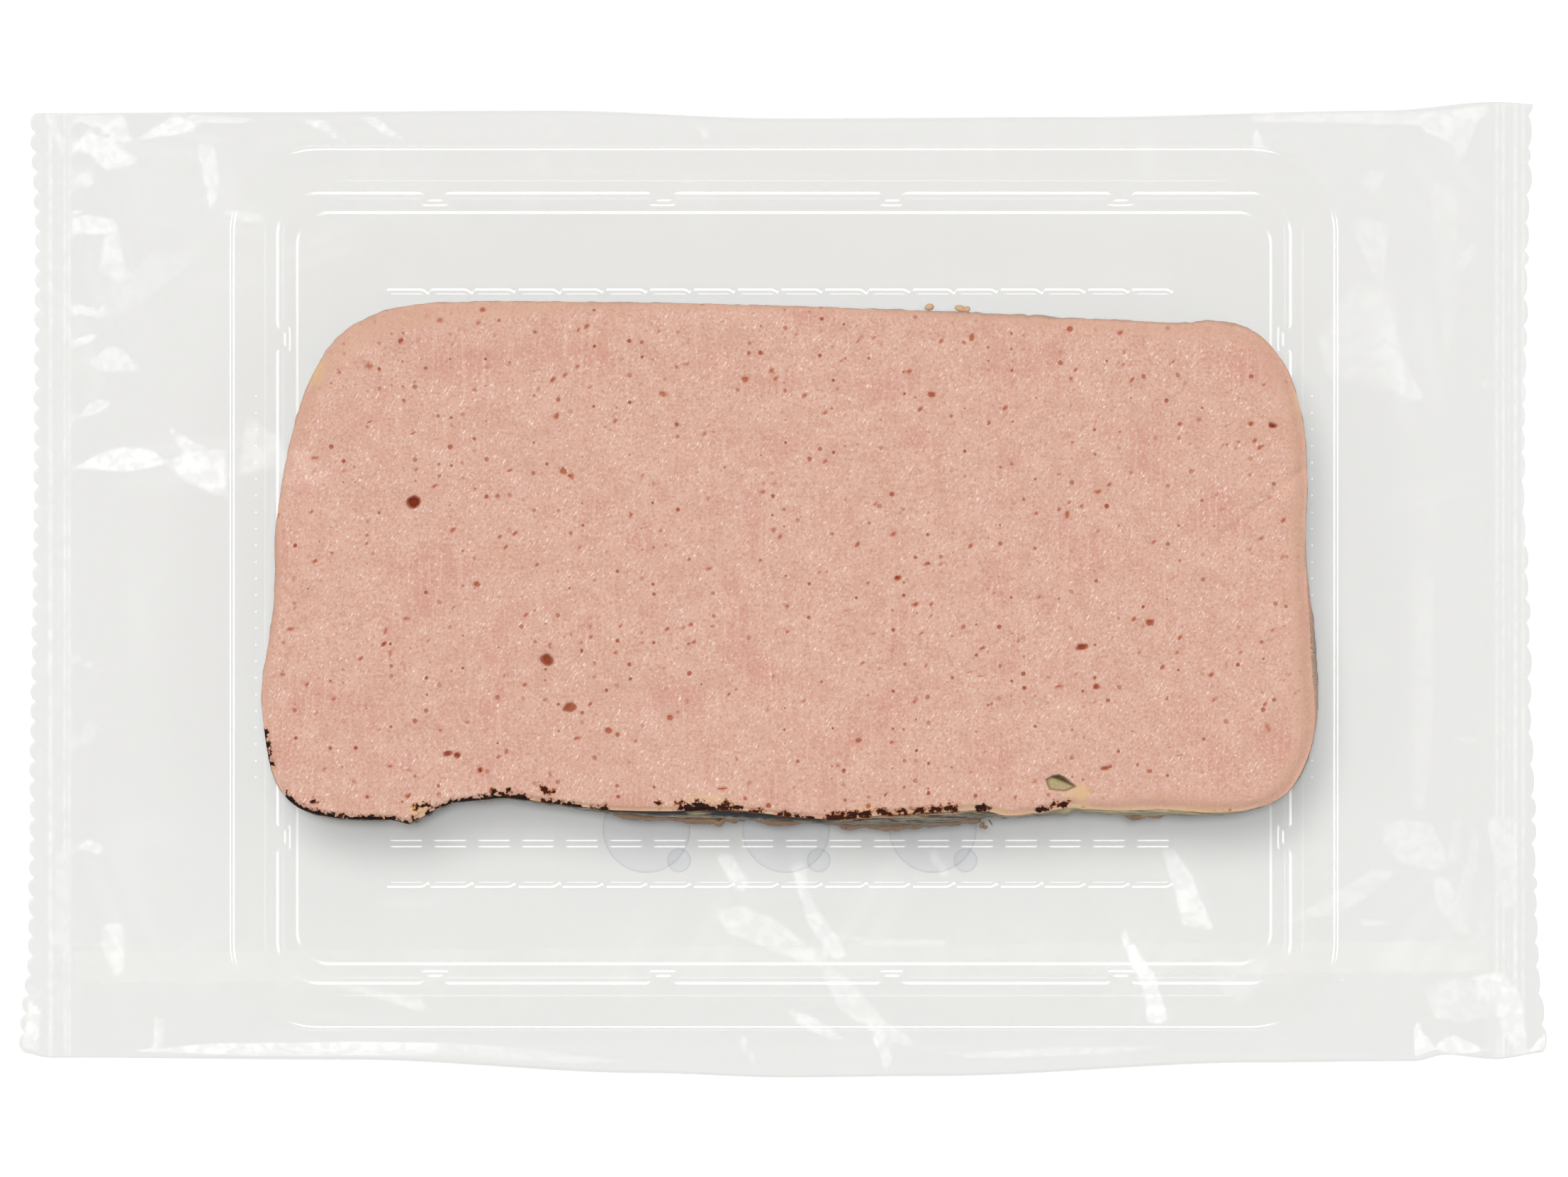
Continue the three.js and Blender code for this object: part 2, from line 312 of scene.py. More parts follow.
trayValues = {
    "halfLength": 78.05,
    "halfWidth": 62.4,
    "middleY": 0.2,
    "cornerRadius": [(0, 12.5), (6.9, 5.8), (9.6, 4.5)],     # by inset from the outer edge
    "thickness": 0.3,
    "longSteps": 230,
    "shortSteps": 180,
    "cornerSteps": 22,
    # inset from the outer edge, height, how bright a fold's painted highlight is on short and long sides
    "profile": [
        (0.00, 4.60, 0.0, 0.0), (0.08, 5.12, 0.0, 0.0), (0.14, 5.28, 0.5, 0.1), (0.24, 5.40, 0.5, 0.1),
        (0.30, 5.43, 0.0, 0.0), (0.57, 5.50, 0.0, 0.0), (0.63, 5.52, 0.55, 0.55), (0.75, 5.46, 0.55, 0.55),
        (0.81, 5.44, 0.0, 0.0), (1.20, 5.40, 0.0, 0.0), (3.40, 5.38, 0.0, 0.0), (4.95, 5.36, 0.0, 0.0),
        (5.10, 5.33, 0.1, 0.11),
        (5.22, 5.25, 0.0, 0.0), (5.80, 5.16, 0.0, 0.0), (6.62, 5.12, 0.0, 0.0), (6.74, 5.08, 0.6, 0.6),
        (6.92, 4.98, 0.6, 0.6), (7.04, 4.80, 0.0, 0.0), (7.40, 4.34, 0.0, 0.0), (7.48, 4.24, 0.0, 0.0),
        (7.58, 4.14, 0.18, 0.18), (7.68, 3.94, 0.0, 0.0), (7.76, 3.78, 0.0, 0.0), (8.20, 2.85, 0.0, 0.0),
        (8.28, 2.70, 0.0, 0.0), (8.42, 2.40, 0.0, 0.0), (8.50, 2.22, 0.0, 0.0), (9.18, 1.00, 0.0, 0.0),
        (9.30, 0.82, 0.26, 0.45), (9.52, 0.68, 0.26, 0.45), (9.64, 0.60, 0.0, 0.0), (10.1, 0.56, 0.0, 0.0),
    ],
    # where the painted fold highlights end, by inset: along and up
    "lineEnds": [
        (0.6, 68.6, 52.3), (5.1, 62.5, 51.0), (6.8, 66.4, 51.0), (7.6, 62.5, 51.0), (9.4, 65.0, 50.0),
    ],
    "lineEndSoft": 1.4,
    # the faint tail of the painted fold highlights past their ends
    "lineTail": (0.04, 9),  # how bright a fold's faint tail is, and how long
    # the painted fold highlights break off at the lugs
    "brokenAtLugs": (6.5, 7.9),     # insets between which a bright fold stops at the lugs
    "lugGap": (1.7, 0.3),
    "lugsAlong": [-49.3, -17.1, 15.2, 47.4],      # centres on the long sides
    "lugsUp": [-35.0, 35.3],                      # centres on the short sides
    "lugHalfWidth": 2.0,
    "lugSides": (60, 50),   # lugs lie past these on the short and on the long sides
    # painted highlights on the lugs: inset, half width, half length and how bright
    "lugHighlights": [(7.58, 0.12, 0.75, 1.0), (8.35, 0.1, 1.6, 0.8)],
    "lugDepth": 0.4,
    "lugReach": [(6.0, 0), (6.6, 1), (7.1, 0.93), (7.8, 0.5), (8.6, 0.15), (9.1, 0)],
    "floor": 0.56,
    "ribCount": 18,
    "ribPitch": 6.18,
    "ribsFromX": -56.3,
    "ribSteps": 24,
    "ribFlat": 0.37,        # half of a rib's level top, as a share of the pitch
    "valley": 0.35,         # how high the dip between two ribs stays
    "scallop": 0.55,
    "scallopFrom": 41,      # distance from the middle where the ribs' scalloped ends start
    "scallopRun": 0.9,
    "scallopGap": 0.07,
    # where on a rib its end curls in, over how much of the rib, and the curl at the rib's start
    "curlFrom": 0.8,
    "curlRun": 0.18,
    "curlStart": 0.25,
    # painted highlights: white dashes along the ribs' folds
    "dashes": (0.16, 0.87),  # where on a rib its bright folds start and end
    "dashSoft": 0.05,
    # distance from the middle, height over the floor and how bright a fold's painted highlight is
    "ribProfile": [
        (42.70, 0.00, 0.0), (42.30, 0.05, 0.0), (42.22, 0.15, 0.9), (42.02, 0.50, 0.9), (41.94, 0.90, 0.0),
        (41.54, 1.60, 0.0), (41.46, 1.80, 0.6), (41.38, 1.92, 0.0), (41.00, 2.00, 0.0), (39.50, 2.05, 0.0),
        (37.00, 2.10, 0.0), (36.54, 2.20, 0.0), (36.48, 2.30, 0.7), (36.32, 2.60, 0.7), (36.26, 2.90, 0.0),
        (35.64, 4.05, 0.0), (35.58, 4.20, 0.6), (35.46, 4.30, 0.6), (35.40, 4.34, 0.0), (28.00, 4.35, 0.0),
        (18.00, 4.35, 0.0), (6.00, 4.35, 0.0),
    ],
    "dotsFromEdge": 3.8,
    "dotPitch": 2.33,
    "dotCount": 24,
    "dotRadius": 0.15,
    "dotHeight": 5.38,
    # painted highlight on the flange's small dots
    "dotHighlight": 0.35,
    "dotsMiddleY": 0.4,
}

bagValues = {
    "overSlice": 0.3,
    "edgeHeight": 1.0,
    "leftSealLine": -100.6,
    "rightSealLine": 99.9,
    "upperEdge": [
        (-106, 67.2), (-75, 67.4), (-33, 67.6), (0, 66.5), (42, 66.7), (84.6, 67.6), (100.2, 68.8),
        (105.8, 68.5),
    ],
    "lowerEdge": [
        (-107.8, -65.2), (-103.5, -66), (-61.2, -66.3), (-19, -68.2), (0.2, -68.8), (21.2, -68.6),
        (67, -66.7), (89, -66.5), (93.1, -65.6), (100.2, -66.2), (107.8, -65.2),
    ],
    "leftCut": [
        (-65.2, -108.0), (-49.5, -106.7), (-33, -106.5), (17, -105.9), (50, -105.7), (67.2, -106.4),
    ],
    "rightCut": [
        (-65.2, 107.8), (-49.5, 106.7), (-33, 106.2), (-11, 105.6), (17, 104.8), (39, 105.1),
        (68.5, 105.8),
    ],
    "rimHeight": 5.6,
    "shoulderReach": 1.6,
    "shoulderDrop": 0.7,
    "hollow": 1.15,
    "rimFall": 0.35,
    "rimBlend": 1.5,
    "foldReach": 2.2,
    "foldRise": 0.9,
    "undersideReach": 5.0,
    "creaseRun": 4.0,
    "columns": 150,
    "finColumns": 20,
    "rows": 240,
    "ridgeHeight": 0.12,
    "ridgeTurn": 1.9,       # how far the seal's ridges turn from one column to the next
    # painted highlight over the whole seal, at the left and at the right end
    "sealGlow": (0.07, 0.0),       # left and right
    "waver": 0.06,
    "toothDepth": 0.85,
    "toothRound": 0.6,
    # the teeth's seed, their widths in rows, and their shortest and tallest reach
    "leftTeeth": (3, [5], 0.85, 1.0),
    "rightTeeth": (5, [4, 6, 7, 8], 0.55, 0.85),
    "filmGap": 0.12,        # half the gap between the two films where they are sealed
    "underneath": 0.16,
}

# main creases of the upper film: from, to, width and height
bagFolds = [
    ((-99, 64), (-84, 57), 2.4, 1.4), ((-90, 64), (-77, 61), 2.0, 1.1),
    ((-80.5, 62), (-78, 50), 2.0, 1.2), ((-98, 52), (-93, 36), 2.4, 1.0),
    ((-96, 17), (-71, 19), 3.0, 1.8), ((-97, -34), (-88, -56), 3.0, 1.1),
    ((-14, -58), (-4, -38), 2.6, 1.2), ((6, -55), (19, -36), 2.6, 1.2),
    ((47, -60), (55, -46), 2.6, 1.5), ((53, -36), (60, -49), 2.6, 1.5),
    ((88, 64), (99, 52), 3.0, 1.6), ((86, 45), (90, 22), 3.4, 1.2),
    ((84, -58), (97, -40), 3.0, 1.4),
]

sliceLoop = closedCurve(
    sliceValues["leftEnd"] + sliceValues["lowerEdge"] + sliceValues["rightEnd"] + sliceValues["upperEdge"],
    sliceValues["curveSteps"],
)


def trayLoop(column, inset):
    # points round the tray: its straight runs and corners have the same columns at every inset
    v = trayValues
    long, short, turn = v["longSteps"], v["shortSteps"], v["cornerSteps"]
    halfX, halfY = v["halfLength"] - inset, v["halfWidth"] - inset
    radius = np.interp(inset, *zip(*v["cornerRadius"]))
    coreX, coreY = halfX - radius, halfY - radius
    x, y = np.zeros_like(inset), np.zeros_like(inset)
    start = 0
    for side in range(4):
        run = (long, short)[side % 2]
        angle = (side - 1) * math.pi / 2
        acrossX, acrossY = round(math.cos(angle)), round(math.sin(angle))      # outwards on this side
        alongX, alongY = -acrossY, acrossX
        on = (column >= start) & (column < start + run)
        place = 2 * (column - start) / run - 1
        x = np.where(on, acrossX * halfX + alongX * place * coreX, x)
        y = np.where(on, acrossY * halfY + alongY * place * coreY, y)
        start += run
        on = (column >= start) & (column < start + turn)
        bend = angle + (column - start) / turn * math.pi / 2
        cornerX = np.sign(acrossX + alongX) * coreX
        cornerY = np.sign(acrossY + alongY) * coreY
        x = np.where(on, cornerX + radius * np.cos(bend), x)
        y = np.where(on, cornerY + radius * np.sin(bend), y)
        start += turn
    return x, y + v["middleY"]


trayColumns = 2 * (trayValues["longSteps"] + trayValues["shortSteps"]) + 4 * trayValues["cornerSteps"]
rimLoop = np.stack(trayLoop(np.arange(trayColumns), np.zeros(trayColumns)), axis=1)


def bagLoop():
    # the film's edge between the two seal lines
    v = bagValues
    left, right, steps = v["leftSealLine"], v["rightSealLine"], 600
    along = np.linspace(left, right, steps)
    low = np.stack([along, eased(v["lowerEdge"], along)], axis=1)
    high = np.stack([along, eased(v["upperEdge"], along)], axis=1)[::-1]
    up = np.linspace(low[-1, 1], high[0, 1], steps)
    down = np.linspace(high[-1, 1], low[0, 1], steps)
    rightSide = np.stack([np.full(steps, right), up], axis=1)
    leftSide = np.stack([np.full(steps, left), down], axis=1)
    return np.concatenate([low, rightSide, high, leftSide])


filmLoop = bagLoop()
print("outlines ready")


filmLook = {
    "pass": (0.9365, 0.9355, 0.9305),      # what one film lets through
    "headOn": 0.016,                    # mirrored share seen head on
    "aslant": 0.1,
    "roughness": 0.2,
    # painted highlights: the glint tone is white light painted onto the film where its creases and facets
    # would glint
    "glintTone": (0.19, 0.19, 0.189),     # light that a white crease adds at its brightest
    "glintSoft": 0.35,
    "unevenGlint": (0.6, 0.65),
}

underLook = {**filmLook, "headOn": 0.0, "aslant": 0.14, "glow": (0.002, 0.002, 0.002)}

seamLook = {
    "pass": (0.999, 0.999, 0.998),
    "headOn": 0.0,
    "aslant": 0.06,
    "roughness": 0.2,
    "glow": (0.012, 0.012, 0.012),
}

trayLook = {
    "pass": (0.999, 0.999, 0.998),
    "headOn": 0.0,
    "aslant": 0.08,
    "roughness": 0.2,
    "foldTone": (0.85, 0.85, 0.85),
    "underTint": (0.994, 0.994, 0.994),
}

printLook = {
    "pass": (0.984, 0.9865, 0.991),
    "inkShare": 0.006,
    "rimPass": (0.955, 0.96, 0.97),
    "inks": [tone(176, 184, 192), tone(205, 210, 216)],
}


def mirrorShare(tree, look):
    # more of a mirror at a slant than seen head on
    facing = addNode(tree, "LayerWeight", {"Blend": 0.5}).outputs["Facing"]
    return maths(tree, "MULTIPLY_ADD", maths(tree, "POWER", facing, 4.0), look["aslant"], look["headOn"])


def clearSheet(tree, look, ripple, glow):
    # clear sheet: a faint mirror over what shows through, with painted highlights added as white light where
    # its glow says
    rough = maths(tree, "MULTIPLY_ADD", ripple, 0.1, look["roughness"] - 0.05)
    clear = addNode(tree, "BsdfTransparent", {"Color": (*look["pass"], 1)}).outputs[0]
    shine = addNode(tree, "BsdfGlossy", {"Roughness": rough}).outputs[0]
    sheet = addNode(tree, "MixShader", {0: mirrorShare(tree, look), 1: clear, 2: shine}).outputs[0]
    white = addNode(tree, "BsdfDiffuse", {"Color": glow}).outputs[0]
    return addNode(tree, "AddShader", {0: sheet, 1: white}).outputs[0]


def clearFilmMaterial():
    material, tree = newMaterial("clear film")
    ripple = noise(tree, millimetres(tree), 1.5, 1.0, 0.5)
    soft, uneven = filmLook["glintSoft"], filmLook["unevenGlint"]
    # painted highlights: white added on the film's glint facets, along its creases and on its sealed ends
    crisp = between(tree, attribute(tree, "glintEdge"), -soft, soft)
    uneven = maths(tree, "MULTIPLY_ADD", between(tree, ripple, 0.4, 0.6), *uneven)
    crisp = maths(tree, "MULTIPLY", crisp, uneven)
    glint = maths(tree, "MULTIPLY_ADD", crisp, attribute(tree, "glint"), attribute(tree, "crease"))
    glow = mixColour(tree, glint, (0, 0, 0, 1), (*filmLook["glintTone"], 1))
    surface(tree, clearSheet(tree, filmLook, ripple, glow))
    return material


def underFilmMaterial():
    material, tree = newMaterial("clear film underside")
    ripple = noise(tree, millimetres(tree), 5.0, 0.0, 0.5)
    surface(tree, clearSheet(tree, underLook, ripple, (*underLook["glow"], 1)))
    return material


def seamMaterial():
    material, tree = newMaterial("film seam")
    ripple = noise(tree, millimetres(tree), 5.0, 1.0, 0.5)
    glow = mixColour(tree, ripple, (0, 0, 0, 1), (*(2 * c for c in seamLook["glow"]), 1))
    surface(tree, clearSheet(tree, seamLook, ripple, glow))
    return material


def trayMaterial():
    material, tree = newMaterial("clear tray plastic")
    flow = noise(tree, millimetres(tree), 9.0, 0.0, 0.5)
    # painted highlights: white light added along the tray's folds
    glow = mixColour(tree, attribute(tree, "fold"), (0, 0, 0, 1), (*trayLook["foldTone"], 1))
    surface(tree, clearSheet(tree, trayLook, flow, glow))
    return material


def underTrayMaterial():
    material, tree = newMaterial("clear tray underside")
    flow = noise(tree, millimetres(tree), 9.0, 0.0, 0.5)
    tint = mixColour(tree, flow, (*trayLook["underTint"], 1), (1, 1, 1, 1))
    surface(tree, addNode(tree, "BsdfTransparent", {"Color": tint}).outputs[0])
    return material


def printMaterial():
    look = printLook
    material, tree = newMaterial("pale far-side print")
    dots = noise(tree, millimetres(tree), 0.8, 1.0, 0.6)
    ink = mixColour(tree, dots, *look["inks"])
    stain = mixColour(tree, attribute(tree, "rim"), (*look["pass"], 1), (*look["rimPass"], 1))
    clear = addNode(tree, "BsdfTransparent", {"Color": stain}).outputs[0]
    paint = addNode(tree, "BsdfDiffuse", {"Color": ink}).outputs[0]
    share = maths(tree, "MULTIPLY", dots, look["inkShare"] * 2)
    surface(tree, addNode(tree, "MixShader", {0: share, 1: clear, 2: paint}).outputs[0])
    return material


faceTones = {
    "pink": tone(215, 174, 156),
    "dusky": tone(207, 163, 145),
    "pale": tone(227, 193, 176),
    "deep": tone(188, 136, 118),
    "rosy": tone(203, 141, 129),
    # painted highlight tone of the face's glints
    "glint": tone(252, 234, 224),
    "band": tone(206, 164, 142),
    "speck": tone(166, 76, 40),
    "pit": tone(116, 46, 24),
    "cream": tone(214, 182, 134),
    "olive": tone(150, 130, 92),
    "shade": tone(84, 66, 38),
    "char": tone(24, 17, 14),
    "brown": tone(66, 28, 14),
    "rust": tone(160, 92, 48),
    "slate": tone(46, 48, 50),
    "grey": tone(128, 117, 102),
    "dark": tone(64, 59, 54),
    "pith": tone(186, 170, 144),
    "tan": tone(158, 124, 96),
    "straw": tone(192, 178, 142),
}


# patterns of the cut face: sizes in millimetres, and shares
fleshLook = {
    "grain": 0.4,
    "mottle": 2.6,
    "cloud": 9.0,
    "streak": (0.5, 16),            # width, and how many times longer
    "fleckTurn": 58,
    "fleckSize": (0.75, 0.24),
    "speckCells": 0.6,              # cells per millimetre that may hold a speck
    "speckShare": 0.16,
    "speckReach": (0.13, 0.06),     # random part and least
    "speckEdge": 0.05,
    "speckDepth": (0.75, 0.2),
    "bandShare": 0.55,
    "fibre": (0.7, (5.0, 0.4, 0.5)),
    "ragged": 0.6,
    "raggedness": (2.0, -0.94),     # how much the burnt edge wanders, and how far out it lies
    "fringe": (0.6, 0.35),
}


def specksOf(tree, place):
    # how strongly a small dark speck shows
    look = fleshLook
    cellInputs = {"Vector": place, "Scale": look["speckCells"], "Randomness": 1.0}
    cells = addNode(tree, "TexVoronoi", cellInputs, voronoi_dimensions="2D")
    pick = addNode(tree, "SeparateColor", {0: cells.outputs["Color"]})
    reach = maths(tree, "MULTIPLY_ADD", pick.outputs[1], *look["speckReach"])
    away = maths(tree, "SUBTRACT", cells.outputs["Distance"], reach)
    near = between(tree, away, look["speckEdge"], -look["speckEdge"])
    chosen = maths(tree, "LESS_THAN", pick.outputs[0], look["speckShare"])
    depth = maths(tree, "MULTIPLY_ADD", pick.outputs[2], *look["speckDepth"])
    return maths(tree, "MULTIPLY", maths(tree, "MULTIPLY", near, chosen), depth)


def fleshColour(tree, place):
    # the cut face: fine grain, faint mottles and streaks, painted pale glints and small dark specks
    t, look = faceTones, fleshLook
    streakWidth, streakLength = look["streak"]
    grain = noise(tree, place, look["grain"], 2.0, 0.65)
    mottle = noise(tree, place, look["mottle"], 3.0, 0.6)
    cloud = noise(tree, place, look["cloud"], 1.0, 0.5)
    streak = noise(tree, millimetres(tree, (1, streakLength, 1)), streakWidth, 1.0, 0.6)
    smoothBand = attribute(tree, "band")
    rough = maths(tree, "SUBTRACT", 1.0, smoothBand)
    colour = mixColour(tree, between(tree, mottle, 0.3, 0.7), t["dusky"], t["pink"])
    colour = tinted(tree, colour, t["rosy"], cloud, 0.5, 0.75, 0.45)
    colour = tinted(tree, colour, t["deep"], grain, 0.48, 0.32, 0.6)
    colour = tinted(tree, colour, t["pale"], grain, 0.54, 0.7, 0.65)
    streaked = maths(tree, "MULTIPLY", between(tree, streak, 0.5, 0.75), between(tree, cloud, 0.35, 0.65))
    colour = mixColour(tree, maths(tree, "MULTIPLY", streaked, 0.35), colour, t["pale"])
    slanted = addNode(tree, "Mapping", {
        "Vector": addNode(tree, "TexCoord").outputs["Object"],
        "Rotation": (0, 0, math.radians(look["fleckTurn"])),
        "Scale": [size * mm for size in (*look["fleckSize"], 1)],
    }, vector_type="TEXTURE").outputs[0]
    flecks = noise(tree, slanted, 1.0, 1.0, 0.5)
    colour = tinted(tree, colour, t["deep"], flecks, 0.38, 0.26, 0.5)
    # painted highlights: near-white glints where the slanted flecks are high, on the rough parts of the face
    paintedSparkle = maths(tree, "MULTIPLY", between(tree, flecks, 0.62, 0.74), rough)
    paintedSparkle = maths(tree, "MULTIPLY", paintedSparkle, between(tree, mottle, 0.3, 0.6))
    colour = mixColour(tree, maths(tree, "MULTIPLY", paintedSparkle, 0.75), colour, t["glint"])
    specks = specksOf(tree, place)
    colour = mixColour(tree, specks, colour, t["speck"])
    colour = mixColour(tree, maths(tree, "MULTIPLY", smoothBand, look["bandShare"]), colour, t["band"])
    relief = maths(tree, "MULTIPLY_ADD", grain, 0.6, maths(tree, "MULTIPLY", mottle, 0.15))
    relief = maths(tree, "MULTIPLY", maths(tree, "SUBTRACT", relief, specks), rough)
    return colour, relief, grain


def crustColour(tree, fibre):
    # the slice's walls and the shreds: grey and pale fibres, straw, tan and a dark layer
    t = faceTones
    crust = mixColour(tree, between(tree, fibre, 0.42, 0.5), t["dark"], t["grey"])
    crust = tinted(tree, crust, t["pith"], fibre, 0.52, 0.6)
    strawTone = mixColour(tree, between(tree, fibre, 0.4, 0.62), t["straw"], t["grey"])
    crust = mixColour(tree, attribute(tree, "straw"), crust, strawTone)
    tanned = mixColour(tree, between(tree, fibre, 0.35, 0.65), t["tan"], t["brown"])
    tanned = mixColour(tree, 0.7, tanned, t["tan"])
    crust = mixColour(tree, attribute(tree, "tanned"), crust, tanned)
    layers = maths(tree, "MULTIPLY_ADD", fibre, 1.8, -0.9)
    layers = maths(tree, "ADD", attribute(tree, "slate"), layers)
    return tinted(tree, crust, t["slate"], layers, 0.3, 0.7)


def burntColour(tree, colour, place, grain):
    # burnt patches and skin with a ragged edge and a thin brown fringe
    t, look = faceTones, fleshLook
    ragged = noise(tree, place, look["ragged"], 2.0, 0.6)
    brownness = attribute(tree, "brownness")
    wander, outwards = look["raggedness"]
    edge = maths(tree, "ADD", attribute(tree, "char"), outwards)
    edge = maths(tree, "MULTIPLY_ADD", ragged, wander, edge)
    fringe = maths(tree, "MULTIPLY_ADD", brownness, *look["fringe"])
    halo = maths(tree, "MULTIPLY", between(tree, edge, -0.4, -0.02), fringe)
    colour = mixColour(tree, halo, colour, t["rust"])
    burnt = mixColour(tree, brownness, t["char"], t["brown"])
    burnt = tinted(tree, burnt, t["brown"], grain, 0.5, 0.66)
    return mixColour(tree, between(tree, edge, -0.08, 0.08), colour, burnt)


def pateMaterial():
    t = faceTones
    material, tree = newMaterial("pate")
    place = millimetres(tree)
    colour, relief, grain = fleshColour(tree, place)
    fibreSize, fibreStretch = fleshLook["fibre"]
    fibre = noise(tree, millimetres(tree, fibreStretch), fibreSize, 3.0, 0.7)
    colour = mixColour(tree, attribute(tree, "cream"), colour, t["cream"])
    pit = attribute(tree, "pit")
    colour = tinted(tree, colour, t["speck"], pit, 0.04, 0.45, 0.8)
    colour = tinted(tree, colour, t["pit"], pit, 0.5, 0.95)
    floorTone = mixColour(tree, grain, t["olive"], t["straw"])
    colour = mixColour(tree, attribute(tree, "hole"), colour, floorTone)
    colour = mixColour(tree, attribute(tree, "holeShade"), colour, t["shade"])
    colour = mixColour(tree, attribute(tree, "side"), colour, crustColour(tree, fibre))
    colour = burntColour(tree, colour, place, grain)
    relief = maths(tree, "MULTIPLY_ADD", fibre, attribute(tree, "side"), relief)
    bump = addNode(tree, "Bump", {"Strength": 0.6, "Distance": 0.3 * mm, "Height": relief}).outputs[0]
    shade = addNode(tree, "BsdfPrincipled", {
        "Base Color": colour,
        "Roughness": maths(tree, "MULTIPLY_ADD", grain, 0.3, 0.3),
        "Specular IOR Level": 0.2,
        "Normal": bump,
    })
    surface(tree, shade.outputs[0])
    return material


clearFilm = clearFilmMaterial()
clearUnderFilm = underFilmMaterial()
clearSeam = seamMaterial()
clearTray = trayMaterial()
clearUnderTray = underTrayMaterial()
palePrint = printMaterial()
pateFlesh = pateMaterial()
print("materials ready")


crumpleValues = {
    "seed": 11,
    "count": 70,
    "spreadX": 100,
    "spreadY": 66,
    "sway": 0.6,            # how far a crumple turns away from pointing outwards, in radians
    "length": (6, 20),
    "width": (0.9, 2.0),
    "height": (0.1, 0.32),
    "clearOfSlice": 4.0,
}
